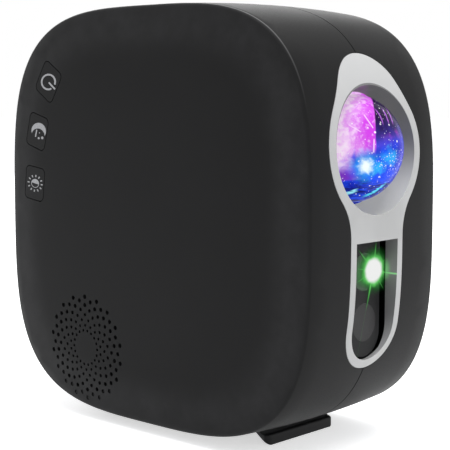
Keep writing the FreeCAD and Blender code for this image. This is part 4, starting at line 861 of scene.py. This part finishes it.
# Boards. Green lacquered boards with copper tracks under the lacquer, and what is soldered on them.
def lacquered(name, first, second):
    """Green lacquer over a board: straight tracks that change course from cell to cell, and pale pads."""
    finish = Finish(name, Roughness=0.3, Coat_Weight=0.4, Coat_Roughness=0.1)
    parts = finish.axes()
    a, b = parts[first], parts[second]
    course = finish.noise(9 * mm, 1.0).rise(0.49, 0.51)
    lines_a = (a / (1.1 * mm)).whole_steps().below(0.34)
    lines_b = (b / (1.1 * mm)).whole_steps().below(0.34)
    tracks = course * lines_a + (1 - course) * lines_b
    live = finish.noise(14 * mm, 2.0).rise(0.44, 0.46)
    cells = finish.node("ShaderNodeTexVoronoi", {}, {"Vector": finish.place, "Scale": 1 / (3.4 * mm)})
    pads = cells.below(0.13)
    base = finish.mix(tracks * live * 0.8, (0.010, 0.085, 0.035), (0.030, 0.190, 0.075))
    finish.feed("Base Color", finish.mix(pads, base, (0.62, 0.60, 0.54)))
    finish.feed("Roughness", 0.32 - tracks * live * 0.08 + finish.noise(2 * mm) * 0.1)
    finish.relief(tracks * live, 0.03 * mm)
    return finish


side_lacquer = lacquered("side_board_lacquer", 1, 2)
front_lacquer = lacquered("front_board_lacquer", 0, 2)
for node, lacquer in (("main_board", side_lacquer), ("key_board", side_lacquer),
                      ("led_board", front_lacquer), ("receiver_board", front_lacquer)):
    skin(node, lacquer)
moulded_black = textured("moulded_black", (0.016, 0.016, 0.017), (0.024, 0.024, 0.025), 0.42)
for node in ("board_chips", "infrared_receiver", "key_switches"):
    skin(node, moulded_black, bevel=0.1 * mm)


def loose_solids(node):
    """The places of each loose solid of a node, one list for each."""
    work = welded(node)
    solids = []
    waiting = set(work.verts)
    while waiting:
        found = [waiting.pop()]
        for vert in found:
            for edge in vert.link_edges:
                other = edge.other_vert(vert)
                if other in waiting:
                    waiting.remove(other)
                    found.append(other)
        solids.append([vert.co.copy() for vert in found])
    work.free()
    return sorted(solids, key=lambda places: min(tuple(place) for place in places))


def corners(places):
    return [Vector([pick(place[axis] for place in places) for axis in range(3)]) for pick in (min, max)]


tinned = metal("tinned_copper", (0.66, 0.66, 0.64), 0.25)
legs = Pattern("chip_legs", "spacing", "leg_width", "leg_reach", "leg_height", "leg_thickness")
width, reach, thickness, height = legs.leg_width, legs.leg_reach, legs.leg_thickness, legs.leg_height
leg = legs.joined(
    legs.box((width, reach * 0.5, thickness), (0.0, reach * -0.2, height)),
    legs.box((width, thickness, height), (0.0, reach * -0.42, height * 0.5)),
    legs.box((width, reach * 0.6, thickness), (0.0, reach * -0.7, thickness * 0.5)),
)
path = legs.node("GeometryNodeMeshToCurve", {}, {"Mesh": legs.places})
stops = legs.node("GeometryNodeCurveToPoints", {"mode": "LENGTH"}, {"Curve": path, "Length": legs.spacing})
heading = Signal(legs, stops.socket.node.outputs["Tangent"])
leg_turn = legs.node("FunctionNodeAlignRotationToVector", {"axis": "X", "pivot_axis": "Z"}, {"Vector": heading})
legs.close(legs.set_on(stops, leg, Rotation=leg_turn), tinned)
leg_spacing = 1.27 * mm
board_face = 20.0 * mm
row_ends = []
for places in loose_solids("board_chips"):
    low, high = corners(places)
    if board_face - low.x > 2 * mm:
        continue
    left, right, bottom, top = low.y, high.y, -high.z, -low.z
    long_way = right - left > top - bottom
    count = int((max(right - left, top - bottom) - 1.2 * mm) / leg_spacing)
    half = count * leg_spacing / 2 + 0.005 * mm
    if long_way:
        centre = (left + right) / 2
        row_ends += [(centre - half, bottom), (centre + half, bottom), (centre + half, top), (centre - half, top)]
    else:
        centre = (bottom + top) / 2
        row_ends += [(right, centre - half), (right, centre + half), (left, centre + half), (left, centre - half)]
row_marks = marks(
    "leg_rows", [(along, up, 0) for along, up in row_ends], [(end, end + 1) for end in range(0, len(row_ends), 2)]
)
chip_legs = legs.laid(
    "chip_legs", row_marks, spacing=leg_spacing, leg_width=0.42 * mm, leg_reach=1.1 * mm,
    leg_height=0.8 * mm, leg_thickness=0.18 * mm,
)
chip_legs.data.transform(Matrix((
    (0, 0, -1, board_face),
    (1, 0, 0, 0),
    (0, -1, 0, 0),
    (0, 0, 0, 1),
)))
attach(chip_legs, body_of["board_chips"])
cream = textured("cream_plastic", (0.62, 0.60, 0.53), (0.70, 0.68, 0.61), 0.45)
for key in ("power", "moon", "light"):
    skin(key + "_plunger", cream, bevel=0.1 * mm)


# Speaker. A pressed steel-grey basket with a ferrite magnet and yoke behind it; a paper cone with a dust
# cap and a copper coil moves in them on a rubber surround, and a foam gasket seals it to the grille.
basket = textured("basket_plastic", (0.030, 0.030, 0.032), (0.040, 0.040, 0.042), 0.4)
skin("speaker_frame", basket)
ferrite = textured("ferrite", (0.040, 0.040, 0.043), (0.060, 0.060, 0.062), 0.68, 0.6 * mm, 0.05 * mm)
skin("speaker_magnet", ferrite, bevel=0.2 * mm)
skin("speaker_yoke", steel, bevel=0.15 * mm)
speaker_middle = Vector((0, 28.7 * mm, -47.1 * mm)) + casing_middle
paper = Finish("cone_paper", Roughness=0.85, Sheen_Weight=0.2)
_, cone_side, cone_height = paper.axes(speaker_middle)
cone_reach = (cone_side ** 2 + cone_height ** 2).root()
fibre = paper.noise(0.5 * mm, 5.0, 1.0)
ring_wave = (cone_reach * (2 * math.pi / (1.6 * mm))).wave()
paper.feed("Base Color", paper.mix(fibre.rise(0.3, 0.7), (0.030, 0.030, 0.033), (0.062, 0.062, 0.066)))
paper.relief(ring_wave * 0.6 + fibre, 0.08 * mm)
skin("speaker_cone", paper)
skin("dust_cap", paper)
copper = metal("wound_copper", (0.80, 0.38, 0.20), 0.28, (1, 0.2, 0.2))
winding = Pattern("winding", "wire_radius", "outer_radius", "layer_gap", "coil_length")
layers = []
for layer in (0.0, 1.0):
    reach = winding.outer_radius - winding.wire_radius - winding.layer_gap * layer
    length = winding.coil_length - winding.wire_radius * 2.0
    wound = winding.coil(reach, length, length / (winding.wire_radius * 2.0), 40, winding.wire_radius, 6)
    layers.append(winding.moved(wound, (winding.wire_radius, 0.0, 0.0), (0, math.pi / 2, 0)))
winding.close(winding.set_on(winding.places, winding.joined(*layers)), copper)
low, high = corners(loose_solids("voice_coil")[0])
coil_start = Vector((low.x, (low.y + high.y) / 2, (low.z + high.z) / 2))
coil = winding.laid(
    "voice_coil_winding", marks("coil_place", [coil_start]), wire_radius=0.11 * mm,
    outer_radius=(high.y - low.y) / 2, layer_gap=0.18 * mm, coil_length=high.x - low.x,
)
stands_for(coil, "voice_coil")
foam = textured("black_foam", 0.020, 0.045, 0.95, 0.7 * mm, 0.25 * mm)
skin("speaker_gasket", foam)


# Screws. Plated steel, of two sizes: long ones close the casing from the right, short ones hold the rest.
# Those of the optics, which the window lets one see, are blackened.
screw_steel = metal("screw_steel", (0.36, 0.37, 0.38), 0.35)
screws = Pattern(
    "screws", "head_radius", "head_height", "shank_radius", "shank_length", "thread_pitch", "cross_reach",
    "cross_width",
)


def narrowed_bar(radius, length, narrowing, narrow_from):
    """A closed round bar along Z that rounds in towards its far end."""
    values = {"Vertices": 24, "Side Segments": 8, "Radius": 1.0, "Depth": 1.0}
    bar = screws.node("GeometryNodeMeshCylinder", {}, values)
    place = screws.node("GeometryNodeInputPosition", {}, {})
    across, along, up = [screws.node("ShaderNodeSeparateXYZ", {}, {0: place}, axis) for axis in range(3)]
    share = up + 0.5
    late = ((share - narrow_from) / (1 - narrow_from)).most(0.0)
    reach = radius * (1 - late * late * narrowing)
    place = screws.vector(across * reach, along * reach, share * length)
    return screws.node("GeometryNodeSetPosition", {}, {"Geometry": bar, "Position": place})


head = narrowed_bar(screws.head_radius, screws.head_height, 0.25, 0.35)
head = screws.moved(head, (0.0, 0.0, 0.0), (math.pi, 0, 0))
cross_middle = (0.0, 0.0, 0 - screws.head_height)
cross = [
    screws.box((screws.cross_reach * 2.0, screws.cross_width, screws.head_height * 1.1), cross_middle),
    screws.box((screws.cross_width, screws.cross_reach * 2.0, screws.head_height * 1.1), cross_middle),
]
settings = {"operation": "DIFFERENCE", "solver": "EXACT"}
head = screws.node("GeometryNodeMeshBoolean", settings, {"Mesh 1": head, "Mesh 2": cross})
core = narrowed_bar(screws.shank_radius * 0.82, screws.shank_length, 0.75, 0.80)
threaded = screws.shank_length * 0.80
thread = screws.coil(
    screws.shank_radius * 0.80, threaded, threaded / screws.thread_pitch, 20, screws.shank_radius * 0.2, 4
)
thread = screws.moved(thread, (0.0, 0.0, screws.shank_length * 0.04))
way = screws.node("GeometryNodeInputNamedAttribute", {"data_type": "FLOAT_VECTOR"}, {"Name": "way"})
screw_turn = screws.node("FunctionNodeAlignRotationToVector", {"axis": "Z"}, {"Vector": way})
screws.close(screws.set_on(screws.places, screws.joined(head, core, thread), Rotation=screw_turn), screw_steel)


def set_screws(node, head_radius, head_height, shank_radius, pitch):
    """Screws where a node has its plain ones, each with its head on the same seat."""
    seats, ways = [], []
    for places in loose_solids(node):
        low, high = corners(places)
        size = high - low
        axis = max(range(3), key=lambda pick: size[pick])
        middle = (low + high) / 2
        wide = [place[axis] for place in places if (place - middle).length_squared
                - (place[axis] - middle[axis]) ** 2 > (shank_radius + 0.1 * mm) ** 2]
        at_low = sum(wide) / len(wide) < middle[axis]
        way = Vector((0, 0, 0))
        way[axis] = 1 if at_low else -1
        seat = middle.copy()
        seat[axis] = low[axis] + head_height if at_low else high[axis] - head_height
        seats.append(seat)
        ways.append(way)
    mesh = marks(node + "_seats", seats)
    kept = mesh.attributes.new("way", "FLOAT_VECTOR", "POINT")
    for spot, way in zip(kept.data, ways):
        spot.vector = way
    piece = screws.laid(
        node + "_cut", mesh, head_radius=head_radius, head_height=head_height, shank_radius=shank_radius,
        shank_length=max(size) - head_height, thread_pitch=pitch, cross_reach=head_radius * 0.52,
        cross_width=head_radius * 0.22,
    )
    stands_for(piece, node)


set_screws("case_screws", 2.4 * mm, 1.8 * mm, 1.3 * mm, 1.0 * mm)
for node in ("optics_screws", "lamp_screws", "board_screws", "speaker_screws"):
    set_screws(node, 1.9 * mm, 1.3 * mm, 0.95 * mm, 0.7 * mm)
blackened = metal("blackened_screw", (0.035, 0.035, 0.037), 0.5)
bpy.data.objects["optics_screws_cut"].data.materials[0] = blackened.material


# Stage. A pale floor and a white surround, four soft lamps, and the camera at the photograph's angle.
floor_tone = Finish("floor", Roughness=0.9, Specular_IOR_Level=0.1, Emission_Strength=1.0)
floor_grain = floor_tone.noise(40 * mm, 2.0)
floor_tone.feed("Base Color", floor_tone.mix(floor_grain, 0.93, 0.95))
floor_seen = floor_tone.node("ShaderNodeLightPath", {}, {}, "Is Camera Ray")
floor_seen = floor_seen.most(floor_tone.node("ShaderNodeLightPath", {}, {}, "Is Glossy Ray"))
floor_tone.feed("Emission Color", floor_tone.mix(floor_seen, 0.0, 0.6))
bpy.ops.mesh.primitive_plane_add(size=8.0, location=(0, 0, 0))
floor = bpy.context.object
floor.name = "floor"
floor.data.materials.append(floor_tone.material)

world = bpy.data.worlds.new("studio")
bpy.context.scene.world = world
world.use_nodes = True
studio = Tree()
studio.tree = world.node_tree
studio.tree.nodes.clear()
camera_ray, glossy_ray, clear_ray = [
    studio.node("ShaderNodeLightPath", {}, {}, f"Is {ray} Ray") for ray in ("Camera", "Glossy", "Transmission")
]
soft = studio.node("ShaderNodeBackground", {}, {"Color": (0.55, 0.56, 0.58, 1)})
bright = studio.node("ShaderNodeBackground", {}, {"Color": (1, 1, 1, 1)})
seen = camera_ray.most(glossy_ray).most(clear_ray)
choice = studio.node("ShaderNodeMixShader", {}, {0: seen, 1: soft, 2: bright})
world_end = studio.tree.nodes.new("ShaderNodeOutputWorld")
studio.tree.links.new(choice.socket, world_end.inputs[0])

for name, place, width, height, power in (
    ("top_softbox", (0.05, -0.10, 0.95), 0.8, 0.8, 6.5), ("left_softbox", (-0.95, 0.15, 0.45), 0.6, 0.7, 0.6),
    ("rear_softbox", (0.75, 0.85, 0.50), 0.9, 0.7, 5), ("front_softbox", (0.25, -1.0, 0.35), 0.7, 0.6, 1.0),
):
    data = bpy.data.lights.new(name, "AREA")
    data.shape = "RECTANGLE"
    data.size = width
    data.size_y = height
    data.energy = power
    light = bpy.data.objects.new(name, data)
    light.location = place
    light.rotation_euler = (casing_middle - Vector(place)).to_track_quat("-Z", "Y").to_euler()
    bpy.context.scene.collection.objects.link(light)

view_distance = 438.88 * mm
azimuth = math.radians(-46.91)
elevation = math.radians(5.447)
level = view_distance * math.cos(elevation)
camera_data = bpy.data.cameras.new("camera")
camera = bpy.data.objects.new("camera", camera_data)
camera.location = casing_middle + Vector((
    level * math.sin(azimuth), -level * math.cos(azimuth), view_distance * math.sin(elevation)
))
camera.rotation_euler = (casing_middle - camera.location).to_track_quat("-Z", "Y").to_euler()
frame_pixels = 450
focal_pixels = 1266.55
middle_column = 212.77
middle_row = 210.63
camera_data.sensor_width = 36
camera_data.lens = focal_pixels / frame_pixels * camera_data.sensor_width
camera_data.shift_x = (frame_pixels / 2 - middle_column) / frame_pixels
camera_data.shift_y = -(frame_pixels / 2 - middle_row) / frame_pixels
camera_data.clip_start = 0.01
bpy.context.scene.collection.objects.link(camera)
bpy.context.scene.camera = camera
bpy.context.scene.view_settings.view_transform = "Standard"
